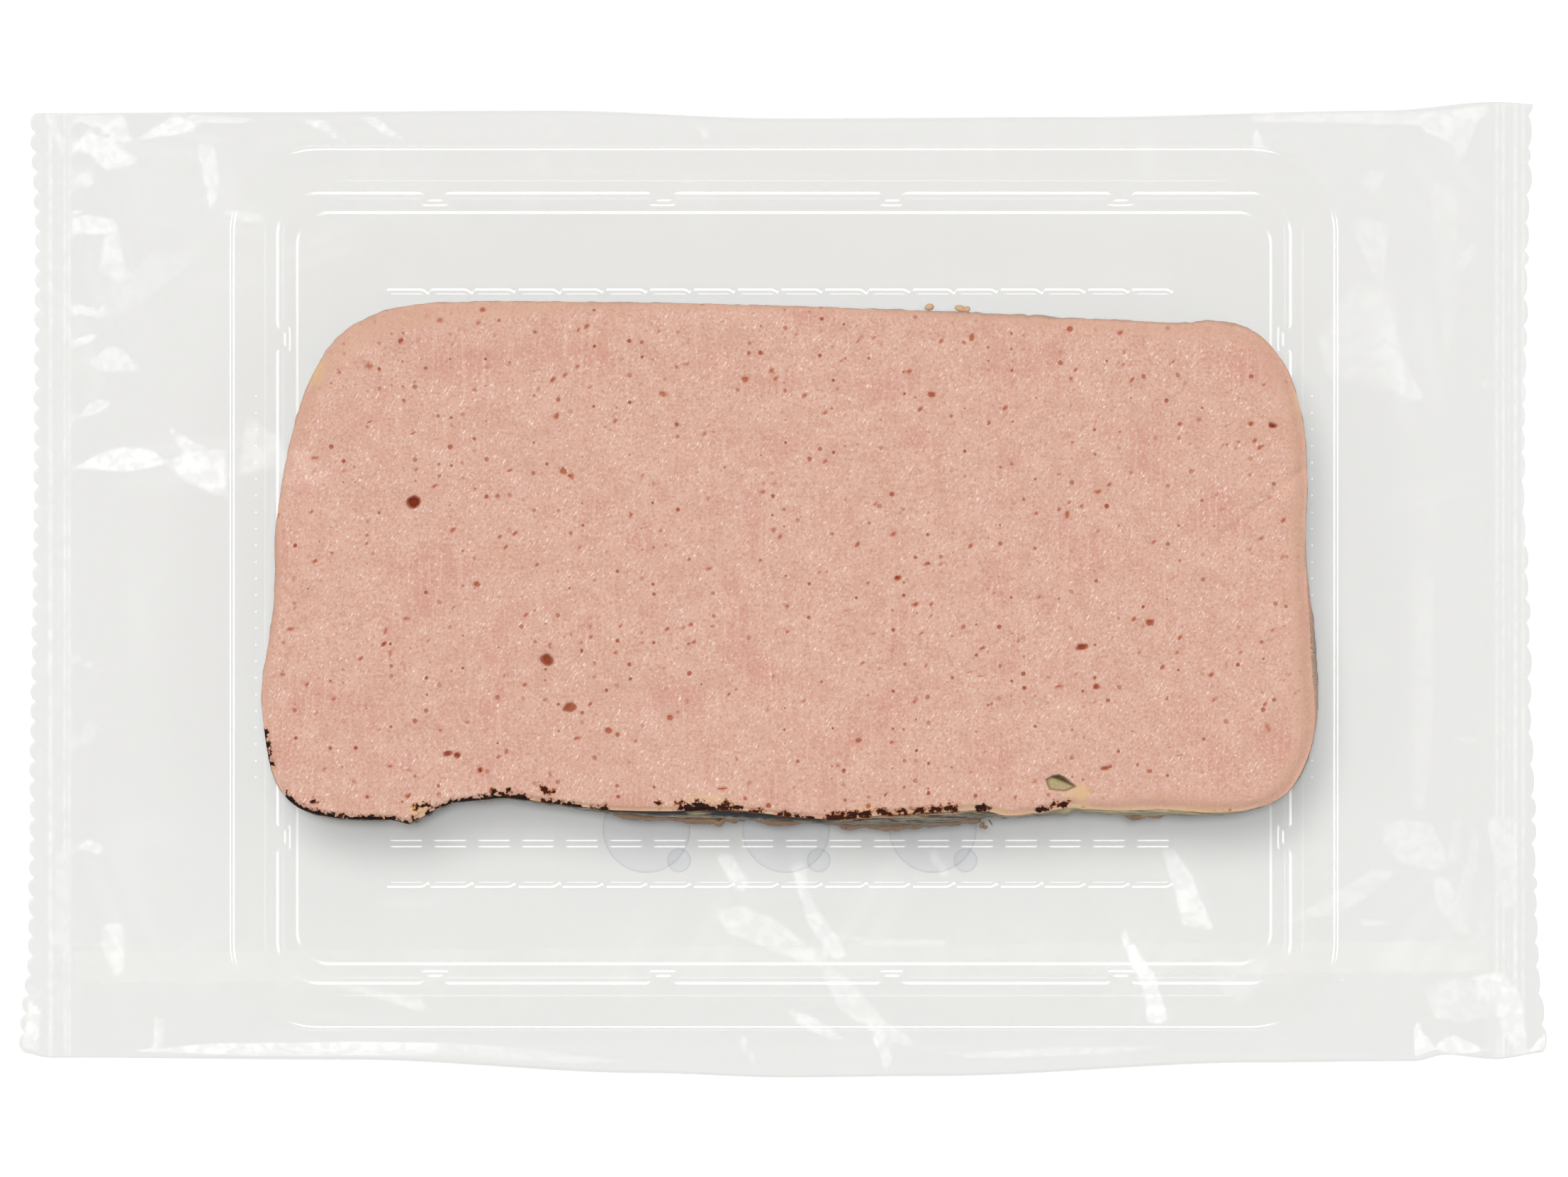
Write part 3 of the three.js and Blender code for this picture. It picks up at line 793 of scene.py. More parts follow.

# painted highlights standing for the glints of the upper film's creases and facets: how bright, how soft its
# edge is, and its corners
filmGlints = [
    (0.45, 0.7, [(-104.2, 66.8), (-102.6, 66.9), (-101.3, 60.8), (-102.4, 62.6)]),
    (0.40, 0.6, [(-100.5, 66.8), (-92.8, 67), (-92.2, 63), (-93.4, 62.9), (-96.5, 65.2), (-100, 66)]),
    (0.75, 0.9, [(-100, 62), (-98.2, 64.9), (-96.6, 63.8), (-97.3, 61.2)]),
    (0.50, 0.7, [(-97, 63.8), (-95.3, 63.6), (-90.5, 60.4), (-92.2, 59.6), (-95.8, 59), (-97.2, 61.2)]),
    (0.55, 0.8, [(-91.4, 63.2), (-85.8, 67), (-83, 65.6), (-83, 64.6), (-86, 64), (-87.6, 63.8)]),
    (0.40, 0.4, [(-83.4, 67), (-75, 66.3), (-75.6, 65.6), (-83, 65.8)]),
    (0.45, 0.9, [(-82.6, 63), (-80, 62.2), (-79.2, 57), (-79.6, 54.6), (-81.4, 57)]),
    (0.65, 0.4, [(-81.2, 56.2), (-80.4, 56), (-79.2, 51.9), (-80.6, 53.6)]),
    (0.30, 0.9, [(-79.5, 53.5), (-73.5, 52.6), (-72.5, 51.4), (-76.5, 51.7)]),
    (0.50, 0.8, [(-100, 50.2), (-100, 52.6), (-97.5, 52.8), (-94.2, 52), (-93.7, 50.6), (-95.5, 50)]),
    (0.80, 0.3, [(-99.8, 53), (-98.2, 54.3), (-98.4, 53)]),
    (0.35, 0.8, [(-99.5, 58), (-98.5, 60.2), (-97.3, 58.3), (-97.4, 56.7), (-99.2, 56.8)]),
    (0.35, 1.2, [(-95.5, 50), (-93.8, 50.3), (-92.8, 45.5), (-91.7, 42.4), (-96.5, 45)]),
    (0.12, 0.5, [(-91, 45), (-89.3, 47.5), (-84, 47.2), (-83.4, 45.6), (-91, 40), (-94.8, 38), (-97, 41)]),
    (0.60, 0.5, [(-100.6, 39.2), (-99.4, 40.3), (-96.3, 39.2), (-95, 37.8), (-98, 38.6)]),
    (0.50, 0.5, [(-101.2, 34.6), (-98.5, 35.8), (-96.2, 36.1), (-97.6, 34.9), (-99.5, 34.3)]),
    (0.40, 0.9, [(-98, 32), (-95, 34.3), (-93.2, 34), (-90.2, 30.7), (-96.5, 30.8)]),
    (0.45, 0.7, [(-99.9, 23.9), (-97.3, 26.8), (-94.8, 26.6), (-95.5, 25.3)]),
    (0.75, 0.8, [(-100, 17.1), (-96, 19.3), (-93.5, 20), (-89, 19.8), (-86.4, 17.6), (-92, 16.6)]),
    (0.70, 1.3, [(-86.4, 17.6), (-84, 19.4), (-78, 19.6), (-78, 13), (-80.5, 13.6), (-84, 15.4)]),
    (0.45, 0.8, [(-86.4, 22.9), (-80.8, 19.6), (-83.4, 18.8), (-85.2, 20.4)]),
    (0.32, 1.2, [(-75, 24.8), (-72.3, 22.2), (-70.4, 21.5), (-70, 17.5), (-76.2, 16)]),
    (0.30, 0.5, [(-100.3, -9), (-97, -10.4), (-96.3, -12.2), (-98.2, -11)]),
    (0.22, 1.0, [(-98, -18.5), (-96.3, -19), (-98.4, -22.6), (-99.6, -21.8)]),
    (0.45, 0.7, [(-100.2, -36.5), (-98, -35.2), (-95.6, -36), (-95.8, -37.5), (-98, -36.8)]),
    (0.25, 1.0, [(-102.8, -37), (-100.4, -37), (-100.6, -52), (-103, -50)]),
    (0.40, 1.0, [(-95.8, -47), (-93, -47), (-92.8, -55), (-94.5, -54), (-96.3, -50)]),
    (0.80, 0.5, [(-92, -65), (-80, -63.9), (-60, -63.6), (-47, -63.8), (-49, -65.6), (-75, -65.7)]),
    (0.40, 0.9, [(-48, -63.8), (-36, -64.6), (-22, -66.4), (-30, -66.8), (-49, -65.6)]),
    (0.50, 0.7, [(-88.6, -60), (-87.3, -60.5), (-87.4, -64.6), (-88.8, -64.6)]),
    (0.35, 1.0, [(-68, -54.8), (-60, -55.8), (-51, -57.6), (-50, -59.8), (-56, -57.8), (-62, -56)]),
    (0.60, 0.8, [(-107.5, -64.4), (-106.3, -57.5), (-104.8, -60), (-105.3, -64.6)]),
    (0.45, 0.8, [(-9.7, -37), (-7.5, -36.8), (-5.2, -40.5), (-4.8, -42.6), (-7, -41.8)]),
    (0.50, 0.8, [(0.8, -38.4), (3, -38), (3.6, -43), (9, -51.4), (7, -52), (3.4, -46.8)]),
    (0.38, 1.1, [(-9.6, -45), (-6, -44.3), (-1.6, -46), (6, -52), (3, -52.4), (-8, -48)]),
    (0.36, 1.1, [(4.6, -51.8), (9, -54.8), (14, -60.5), (19, -64), (14, -63.5), (7.5, -58.6)]),
    (0.42, 0.9, [(0.5, -59), (4, -60), (9, -63.6), (6, -63), (1.5, -60.8)]),
    (0.50, 0.6, [(-7, -61.5), (-5.2, -63.3), (-3.5, -67.5), (-5.3, -66)]),
    (0.60, 0.7, [(11, -60), (12.6, -61.4), (15.3, -66), (14.2, -68), (13.5, -65.4)]),
    (0.35, 0.8, [(16, -64), (25, -65.3), (40, -64.3), (54, -64.3), (46, -65.3), (27, -66)]),
    (0.72, 0.6, [(46, -45), (49, -49.6), (52, -54), (54.3, -60.9), (51, -61), (50.4, -56), (48.4, -52)]),
    (0.55, 0.8, [(52.7, -36.4), (54.5, -36.4), (57, -40), (60.3, -47.8), (55.8, -46.9), (54.9, -43)]),
    (0.30, 0.6, [(6, -47.9), (12, -49), (23, -49.2), (23, -50), (12, -49.9)]),
    (0.50, 0.5, [(19.8, -36.3), (21.3, -36.3), (23.6, -40.2), (22, -40.2)]),
    (0.15, 1.0, [(60, -51.6), (68, -52), (67, -55.5), (64, -58.4), (61, -56)]),
    (0.34, 0.7, [(66, 67.3), (90, 67.3), (90, 65.4), (80, 65.7), (66, 65.9)]),
    (0.38, 0.8, [
        (89, 67.2), (99.6, 68.4), (97.5, 65.4), (95.6, 60.5), (95.1, 57.4), (94.3, 62.6), (90, 64.6),
    ]),
    (0.16, 0.9, [(81, 57.2), (82.5, 59), (84.5, 58.6), (83.5, 56), (82, 55.8)]),
    (0.18, 0.9, [(80, 52.5), (85, 51.3), (84, 43), (83, 43.2), (80.4, 49.4)]),
    (0.18, 1.6, [(74.6, 35), (80, 43), (84.6, 42), (86.6, 33), (84, 28.4), (76, 29.6)]),
    (0.28, 1.0, [(83, 34.6), (86, 33.6), (90, 26.8), (88.6, 26.3), (83.6, 29)]),
    (0.10, 0.9, [(91, 57), (94.6, 57), (94.9, 40), (93.4, 30), (91.6, 44)]),
    (0.12, 0.7, [(90.6, 14), (91.7, 14), (92, 8), (91, 5.6), (90.2, 9.5)]),
    (0.07, 1.2, [(88.2, 4), (91.4, 4), (89.6, -31), (88.4, -31)]),
    (0.22, 0.7, [(95.5, 47.5), (97.3, 48.8), (97.2, 47), (95.3, 44.4)]),
    (0.22, 0.5, [(97, 31), (99.8, 28.1), (99.6, 27.4), (97.5, 29.4)]),
    (0.26, 0.9, [(84, -33), (87, -32.2), (91, -33), (93, -37), (93, -39.6), (87, -38.6), (84, -35.4)]),
    (0.22, 0.8, [
        (78, -42.2), (82.6, -39.4), (86, -39.6), (81, -43.8), (77.6, -45.4), (70, -46.8), (73, -45),
    ]),
    (0.2, 0.9, [(91, -40), (93.6, -41), (96.6, -48.7), (94.4, -48), (92, -44.5)]),
    (0.24, 0.8, [(99, -32.3), (102.5, -32.3), (103.5, -44.8), (101.2, -44.8)]),
    (0.90, 0.5, [(88.7, -60.2), (91.7, -64.7), (88.9, -66)]),
    (0.60, 0.6, [(91.5, -64.6), (94, -62.5), (99, -65), (94, -65.6)]),
    (0.28, 1.0, [(90, -56), (95, -54.7), (97.3, -56), (99, -60), (96, -61), (91.6, -60.4)]),
    (0.50, 0.9, [(97, -54.5), (101.6, -54), (104, -58), (105, -66), (103.6, -66)]),
    (0.10, 0.3, [(93.6, -32.3), (95, -32.3), (97.4, -50), (96.4, -50)]),
    (0.12, 0.3, [(96, -32.3), (97, -32.3), (99.6, -50), (98.8, -50)]),
    (0.16, 0.3, [(98.4, -51), (99.2, -51), (101.6, -65.6), (100.8, -65.6)]),
    (0.08, 0.3, [(82, -50), (88, -49), (99, -52), (99, -53.6), (82, -53.6)]),
    (0.18, 0.25, [(93, -20.9), (97.6, -20.8), (98.4, -21.4), (96, -21.7)]),
    (0.14, 0.4, [(89.4, 0), (91, 2), (91.4, -12), (90.2, -31), (88.6, -31), (88.6, -12)]),
    (0.80, 0.5, [(105, -64.9), (107.3, -62.7), (107.7, -64.2), (107.2, -65.2)]),
    (0.60, 0.4, [(77, -53.8), (78.9, -54.9), (78, -55.2)]),
    (0.30, 0.6, [(80, -46.3), (85.4, -46.6), (85, -47.3), (81, -47.1)]),
    (0.25, 1.5, [(-70.6, 19.5), (-66, 19.2), (-63.6, 16.4), (-66, 14.2), (-70.6, 14.6)]),
    (0.55, 0.8, [(-68.4, 66.3), (-64.6, 66), (-60.8, 62), (-64.5, 64.3)]),
    (0.50, 0.7, [(-59.8, 66.6), (-57.6, 66.6), (-52.6, 62.7), (-56.2, 64)]),
    (0.35, 0.6, [(-12.6, 65.4), (-10.8, 65), (-10.4, 63.2), (-11.6, 63.6)]),
    (0.35, 0.7, [(65.6, 66), (67.4, 63.4), (68, 60.5), (66.2, 61.6)]),
]

# painted highlights along the lines of the sealed ends: across the pack, half width and how bright
sealHighlights = [
    (-104.9, 0.4, 0.13), (-103.4, 0.3, 0.45), (-102.2, 0.2, 0.14), (-101.4, 0.2, 0.4),
    (-100.7, 0.2, 0.45), (100.5, 0.25, 0.3), (101.4, 0.2, 0.36), (102.2, 0.14, 0.2), (103.1, 0.25, 0.42),
    (104.2, 0.2, 0.32),
]


glintValues = {
    "farOutside": -3,       # the edge value where no facet is near
    "sealSoft": 0.4,
    "sealEdge": 0.9,
    "streaks": 0.45,        # how uneven a facet is in fine streaks and in broad clouds
    "clouds": 0.3,
    "plain": 0.7,
    # painted highlights along the film's creases
    "creaseShine": 0.3,
    "creaseHeight": 0.4,    # creases higher than this shine no more
    "creaseSide": 0.7,      # shares of its width: how far off its middle a crease shines, and how widely
    "creaseSpread": 0.35,
}


def seededCrumples():
    v = crumpleValues
    rng = np.random.default_rng(v["seed"])
    found = []
    while len(found) < v["count"]:
        x = rng.uniform(-v["spreadX"], v["spreadX"])
        y = rng.uniform(-v["spreadY"], v["spreadY"])
        bearing = math.atan2(y, x)
        out = math.hypot(x, y) - float(reachOf(sliceLoop, bearing))
        turn = bearing + rng.normal(0, v["sway"])
        length, width, height = [rng.uniform(*v[size]) for size in ("length", "width", "height")]
        if out < v["clearOfSlice"]:
            continue
        end = (x + length * math.cos(turn), y + length * math.sin(turn))
        found.append(((x, y), end, width, height * rng.choice([-1, 1])))
    return found


def creaseHeight(x, y, creases):
    rise = np.zeros_like(x)
    for start, end, width, height in creases:
        away, share = offLine(x, y, start, end)
        rise += height * hump(away / width)
    return rise


def softMax(a, b, blend):
    # the greater of two heights, with a rounded change-over
    return (a + b + np.sqrt((a - b) ** 2 + blend ** 2)) / 2


def filmHeight(x, y):
    # how high the upper film lies between the seals
    v = bagValues
    bearing, reach = np.arctan2(y, x), np.hypot(x, y)
    sliceReach, rimReach = evenReach(sliceLoop, bearing), reachOf(rimLoop, bearing)
    sliceReach = np.maximum(sliceReach, reachOf(sliceLoop, bearing))
    edgeReach = reachOf(filmLoop, bearing)
    top = sliceValues["top"] + v["overSlice"]
    shoulder = sliceReach + v["shoulderReach"]
    slope = np.clip((reach - shoulder) / (edgeReach - shoulder), 0, 1)
    tent = v["edgeHeight"] + (top - v["shoulderDrop"] - v["edgeHeight"]) * (1 - slope) ** v["hollow"]
    fromRim = np.sqrt((reach - rimReach) ** 2 + v["rimBlend"] ** 2) - v["rimBlend"]
    rim = v["rimHeight"] - v["rimFall"] * fromRim
    roll = np.clip((edgeReach - reach) / v["foldReach"], 0, 1)
    folded = v["edgeHeight"] + v["foldRise"] * np.sqrt(1 - (1 - roll) ** 2)
    height = np.maximum(softMax(tent, rim * roll, v["rimBlend"] * roll), folded)
    loose = np.minimum(roll, slope * v["creaseRun"])
    height = height + creaseHeight(x, y, bagFolds + seededCrumples()) * loose
    onSlice = smooth((shoulder - reach) / v["shoulderReach"])
    return np.minimum(height * (1 - onSlice) + top * onSlice, top)


def cutEdge(row, y, cut, side, teeth):
    # the zigzag cut: rounded teeth with sharp notches between them
    v = bagValues
    return eased(cut, y) - side * v["toothDepth"] * (1 - teeth[row.astype(int)])


def toothRows(seed, spans, shortest, tallest):
    # how far out each row of the film reaches, from 0 in a notch to 1 on a tooth's tip
    rows = bagValues["rows"]
    rng = np.random.default_rng(seed)
    reach, row = np.zeros(rows + 1), 0
    while row < rows:
        span = int(rng.choice(spans))
        tip = rng.uniform(shortest, 1)
        for step in range(span):
            if row + step <= rows:
                reach[row + step] = tip * abs(math.sin(math.pi * step / span)) ** bagValues["toothRound"]
        row += span
    return reach * tallest


leftTeeth = toothRows(*bagValues["leftTeeth"])
rightTeeth = toothRows(*bagValues["rightTeeth"])


def filmSheet(name, upper):
    v = bagValues
    fins = v["finColumns"]
    columns = v["columns"] + 2 * fins
    mesh, u, w = flatGrid(name, columns, v["rows"])
    column, row = np.round(u * columns), np.round(w * v["rows"])
    left, right = v["leftSealLine"], v["rightSealLine"]
    x = left + (right - left) * np.clip((column - fins) / v["columns"], 0, 1)
    for repeat in range(3):         # the fins' ends and the long edges lean on each other
        y = eased(v["lowerEdge"], x) * (1 - w) + eased(v["upperEdge"], x) * w
        cutLeft = cutEdge(row, y, v["leftCut"], -1, leftTeeth)
        cutRight = cutEdge(row, y, v["rightCut"], 1, rightTeeth)
        x = np.where(column < fins, cutLeft + (left - cutLeft) * column / fins, x)
        fromSeal = (column - columns + fins) / fins
        x = np.where(column > columns - fins, right + (cutRight - right) * fromSeal, x)
    edge = v["edgeHeight"]
    border = (column == 0) | (column == columns) | (row == 0) | (row == v["rows"])
    fin = (column <= fins) | (column >= columns - fins)
    ridge = v["ridgeHeight"] * np.sin(column * v["ridgeTurn"]) + v["waver"] * (blotches(x, y, 3, 21) - 0.5)
    if upper:
        height = np.where(fin, edge + v["filmGap"] + np.maximum(ridge, 0), filmHeight(x, y))
        height = np.maximum(height, edge + v["filmGap"])
    else:
        bearing = np.arctan2(y, x)
        inwards = reachOf(filmLoop, bearing) - np.hypot(x, y)
        rise = 1 - smooth(inwards / v["undersideReach"])
        height = v["underneath"] + (edge - v["underneath"]) * rise
        height = height + v["waver"] * (blotches(x, y, 9, 8) - 0.5)
        height = np.where(fin, edge - v["filmGap"] + np.minimum(ridge, 0), height)
        height = np.minimum(height, edge - v["filmGap"])
    height = np.where(border, edge, height)
    placePoints(mesh, x, y, height)
    return mesh


def glintsAt(x, y):
    # how far inside the nearest painted highlight a point lies, how bright it is, and the painted highlights
    # along the creases
    v = glintValues
    far = v["farOutside"]
    beyond = np.maximum(bagValues["leftSealLine"] - x, x - bagValues["rightSealLine"])
    seal = np.where(x < 0, *bagValues["sealGlow"])
    for across, halfWidth, bright in sealHighlights:
        seal = np.maximum(seal, bright * hump((x - across) / halfWidth))
    edge = np.clip(beyond / v["sealSoft"], far, v["sealEdge"])
    glint = np.where(edge > far, seal, 0)
    for bright, soft, corners in filmGlints:
        inside = np.clip(insideBy(x, y, corners) / soft, far, 1)
        better = (inside > edge) | ((inside > 0) & (bright > glint))
        edge, glint = np.where(better, inside, edge), np.where(better, bright, glint)
    streaked = v["plain"] + v["streaks"] * blotches(x + y * 0.5, y - x * 0.6, 1.7, 77)
    streaked = streaked + v["clouds"] * (blotches(x, y, 5, 78) - 0.5)
    crease = np.zeros_like(x)
    for start, end, width, height in seededCrumples() + bagFolds:
        away, share = offLine(x, y, start, end)
        faint = v["creaseShine"] * min(abs(height), v["creaseHeight"])
        faint = faint * np.sin(np.pi * np.clip(share, 0, 1))
        beside = (away - width * v["creaseSide"]) / (width * v["creaseSpread"])
        crease = np.maximum(crease, faint * hump(beside))
    return edge, glint * streaked, crease


def filmBag():
    bm = joined("film", [filmSheet("upper", True), filmSheet("lower", False)])
    bmesh.ops.recalc_face_normals(bm, faces=bm.faces)
    for face in bm.faces:
        face.material_index = int(face.normal.z < 0)
    piece = finishPiece("film", bm, [clearFilm, clearUnderFilm])
    x, y, _ = pointsOf(piece.data)
    # painted highlights of the upper film, which its material reads
    for share, values in zip(("glintEdge", "glint", "crease"), glintsAt(x, y)):
        addShare(piece.data, share, values)
    return piece


film = filmBag()
print("film bag ready", len(film.data.polygons), "faces")

seamValues = {
    "width": 4.6, "leftY": -53.4, "rightY": -51.7, "from": -100.0, "to": 99.5,
    "height": 0.05, "thickness": 0.03, "sway": 0.4, "waver": 0.02, "columns": 200, "rows": 8,
}


def filmSeam():
    # the lengthwise seam on the far side, a strip folded flat
    v = seamValues
    mesh, u, w = flatGrid("film_seam", v["columns"], v["rows"])
    x = v["from"] + (v["to"] - v["from"]) * u
    middle = v["leftY"] + (v["rightY"] - v["leftY"]) * u
    y = middle + (w - 0.5) * v["width"] + v["sway"] * (blotches(x, x, 14, 4) - 0.5)
    placePoints(mesh, x, y, v["height"] + v["waver"] * blotches(x, y, 5, 6))
    piece = finishPiece("film_seam", mesh, [clearSeam])
    shell = piece.modifiers.new("thickness", "SOLIDIFY")
    shell.thickness = v["thickness"] * mm
    return piece


filmSeam()

printValues = {
    "discX": [-19.4, 0.3, 21.0],
    "discY": -33.8,
    "discRadius": 6.2,
    "badgeShift": (4.6, -4.4),
    "badgeRadius": 1.7,
    "sides": 72,
    "rimWidth": 0.2,
    "rimFade": 0.1,
    "height": 0.1,
    "badgeDrop": 0.05,      # the smaller discs lie this much lower
    "thickness": 0.03,
}


def farSidePrint():
    # plain pale discs on the far side of the film, a little darker along their edge
    v = printValues
    bm = bmesh.new()
    shiftX, shiftY = v["badgeShift"]
    spots = [(x, v["discY"], v["discRadius"]) for x in v["discX"]]
    spots += [(x + shiftX, v["discY"] + shiftY, v["badgeRadius"]) for x in v["discX"]]
    for x, y, radius in spots:
        height = v["height"] - v["badgeDrop"] * (radius == v["badgeRadius"])
        place = Matrix.Translation(Vector((x, y, height)) * mm)
        bmesh.ops.create_circle(bm, cap_ends=True, segments=v["sides"], radius=radius * mm, matrix=place)
    for width in (v["rimWidth"], v["rimFade"]):
        wide = [f for f in bm.faces if len(f.verts) > 4]
        bmesh.ops.inset_region(bm, faces=wide, thickness=width * mm, use_boundary=True)
    made = bmesh.ops.extrude_face_region(bm, geom=bm.faces[:])
    raised = [g for g in made["geom"] if isinstance(g, bmesh.types.BMVert)]
    bmesh.ops.translate(bm, vec=(0, 0, v["thickness"] * mm), verts=raised)
    bmesh.ops.recalc_face_normals(bm, faces=bm.faces)
    piece = finishPiece("far_side_print", bm, [palePrint])
    x, y, _ = pointsOf(piece.data)
    rim = np.zeros(len(x))
    for spotX, spotY, radius in spots:
        inside = radius - np.hypot(x - spotX, y - spotY)
        rim = np.where((inside > -0.01) & (inside < v["rimWidth"] + v["rimFade"] / 2), 1, rim)
    addShare(piece.data, "rim", rim)
    return piece


farSidePrint()
print("seam and print ready")


def ribHeight(x, y):
    # height of the rib pad over the tray's floor, and how bright the painted highlights on its folds are
    v = trayValues
    away, height, bright = np.array(v["ribProfile"][::-1]).T
    cell = (x - v["ribsFromX"]) / v["ribPitch"]
    phase = cell - np.floor(cell)
    rib = smooth((0.5 - np.abs(phase - 0.5)) / (0.5 - v["ribFlat"]))
    fromEnd = np.minimum(cell, v["ribCount"] - cell)
    valley = v["valley"] * smooth(fromEnd / 0.5)
    out = np.abs(y - v["middleY"])
    level = np.interp(out, away, height)
    fold = np.interp(out, away, bright)
    dashFrom, dashTo = v["dashes"]
    soft = v["dashSoft"]
    dashed = smooth((phase - dashFrom) / soft + 0.5) * smooth((dashTo - phase) / soft + 0.5)
    scalloped = out > v["ribProfile"][4][0] - 0.02
    fold = np.where(scalloped, fold * (phase > v["scallopGap"]), fold * dashed) * (fromEnd > 0.02)
    return level * (valley + (1 - valley) * rib), fold


def ribPad():
    v = trayValues
    half = [s[0] for s in v["ribProfile"]]
    rows = [-s for s in half] + half[::-1]
    columns = v["ribCount"] * v["ribSteps"]
    mesh, u, w = flatGrid("ribs", columns, len(rows) - 1)
    x = v["ribsFromX"] + u * v["ribCount"] * v["ribPitch"]
    y = np.array(rows)[np.round(w * (len(rows) - 1)).astype(int)] + v["middleY"]
    rise, fold = ribHeight(x, y)
    # painted highlights on the ribs' folds
    addShare(mesh, "fold", fold)
    phase = (u * v["ribCount"]) % 1
    curl = np.clip((phase - v["curlFrom"]) / v["curlRun"], 0, 1) ** 2
    curl = np.maximum(curl, v["curlStart"] * np.clip(1 - phase / v["scallopGap"], 0, 1))
    out = np.abs(y - v["middleY"])
    pull = v["scallop"] * curl * smooth((out - v["scallopFrom"]) / v["scallopRun"])
    pull = np.where(out > v["ribProfile"][0][0] - 0.1, 0, pull)
    placePoints(mesh, x, y - np.sign(y - v["middleY"]) * pull, v["floor"] + rise)
    return mesh


def lugAway(x, y):
    # distance along the tray's edge from the nearest small lug, which keeps stacked trays apart
    v = trayValues
    sideX, sideY = v["lugSides"]
    away = np.full(x.shape, v["halfLength"])
    for along in v["lugsAlong"]:
        away = np.where(np.abs(y) > sideY, np.minimum(away, np.abs(x - along)), away)
    for up in v["lugsUp"]:
        away = np.where(np.abs(x) > sideX, np.minimum(away, np.abs(y - up)), away)
    return away


def foldShine(x, y, inset):
    # how bright the painted highlights on the tray wall's folds are: along the straight sides, and broken at
    # the lugs
    v = trayValues
    stations = np.array(v["profile"])
    onShort = np.abs(x) - v["halfLength"] > np.abs(y - v["middleY"]) - v["halfWidth"]
    shine = np.interp(inset, stations[:, 0], stations[:, 2])
    longShine = np.interp(inset, stations[:, 0], stations[:, 3])
    ends = np.array(v["lineEnds"])
    endX, endY = np.interp(inset, ends[:, 0], ends[:, 1]), np.interp(inset, ends[:, 0], ends[:, 2])
    past = np.where(onShort, np.abs(y - v["middleY"]) - endY, (np.abs(x) - endX) * 0.5)
    tail, tailLength = v["lineTail"]
    fade = (1 - tail) * (1 - smooth(past / v["lineEndSoft"] + 0.5)) + tail * (1 - smooth(past / tailLength))
    shine = np.where(onShort, shine, longShine) * fade
    away = lugAway(x, y)
    gap, gapSoft = v["lugGap"]
    brokenFrom, brokenTo = v["brokenAtLugs"]
    broken = (inset > brokenFrom) & (inset < brokenTo)
    shine = np.where(broken, shine * smooth((away - gap) / gapSoft), shine)
    for lugInset, halfWidth, halfLength, bright in v["lugHighlights"]:
        here = (np.abs(inset - lugInset) < halfWidth) & (away < halfLength)
        shine = np.where(here, bright, shine)
    return shine


def trayWall():
    v = trayValues
    profile = v["profile"]
    mesh, u, w = flatGrid("wall", trayColumns, len(profile) - 1)
    column = np.round(u * trayColumns) % trayColumns
    row = np.round(w * (len(profile) - 1)).astype(int)
    inset, height = np.array(profile)[row].T[:2]
    x, y = trayLoop(column, inset)
    addShare(mesh, "fold", foldShine(x, y, inset))
    lug = smooth((1 - lugAway(x, y) / v["lugHalfWidth"]) / 0.5)
    x, y = trayLoop(column, inset + v["lugDepth"] * lug * np.interp(inset, *zip(*v["lugReach"])))
    placePoints(mesh, x, y, height)
    return mesh


def tray():
    v = trayValues
    bm = joined("tray", [trayWall(), ribPad()])
    justOver = (v["floor"] + 0.2) * mm
    floorEdges = [e for e in bm.edges if e.is_boundary and e.verts[0].co.z < justOver]
    bmesh.ops.triangle_fill(bm, edges=floorEdges, use_beauty=True)
    bmesh.ops.recalc_face_normals(bm, faces=bm.faces)
    if sum(f.normal.z for f in bm.faces) < 0:
        bmesh.ops.reverse_faces(bm, faces=bm.faces)
    # the flange's dots get a painted highlight
    fold = bm.verts.layers.float["fold"]
    for side in (-1, 1):
        for k in range(v["dotCount"]):
            y = v["dotsMiddleY"] + (k - (v["dotCount"] - 1) / 2) * v["dotPitch"]
            x = side * (v["halfLength"] - v["dotsFromEdge"])
            place = Matrix.Translation(Vector((x, y, v["dotHeight"])) * mm)
            made = bmesh.ops.create_icosphere(bm, subdivisions=1, radius=v["dotRadius"] * mm, matrix=place)
            for vertex in made["verts"]:
                vertex[fold] = v["dotHighlight"]
    piece = finishPiece("tray", bm, [clearTray, clearUnderTray])
    shell = piece.modifiers.new("thickness", "SOLIDIFY")
    shell.material_offset = 1
    shell.thickness = v["thickness"] * mm
    shell.offset = -1
    return piece


trayPiece = tray()
print("tray ready", len(trayPiece.data.polygons), "faces")


# where the cut face ends along the lower edge, as x and y
faceLowEdge = [
    (-70.3, -29.2), (-68, -30.4), (-65.3, -31.3), (-61.3, -31.95), (-57.4, -32.05), (-54.9, -32.05),
    (-52.4, -32.6), (-50.4, -31.7), (-48.5, -30.6), (-46, -29.7), (-42.5, -29.35), (-39.6, -29.05),
    (-36.6, -29.2), (-34.6, -29.5), (-32.6, -29.8), (-29.7, -30.1), (-26.7, -30.5), (-23.7, -30.8),
    (-19.8, -30.9),
    (-15.8, -30.9), (-12.9, -30.7), (-9.9, -30.6), (-8.6, -30.5), (-4.9, -30.9), (-2, -31.3), (1, -31.7),
    (4, -31.9), (6.9, -32.1), (9.9, -31.8), (12.9, -31.5), (16.8, -31.2), (19.8, -31), (23.7, -30.9),
    (26.7, -30.7), (28.7, -30.9), (30.7, -31.5), (32.6, -31.5), (35.6, -31.1), (37.6, -30.7), (39.6, -30.4),
    (40.6, -30.2), (42.5, -30.6), (45.5, -30.8), (49.5, -30.7), (52.4, -30.6), (55.4, -30.8), (58.4, -31.1),
    (61.3, -31.1), (64, -30.9), (67, -30.2),
]

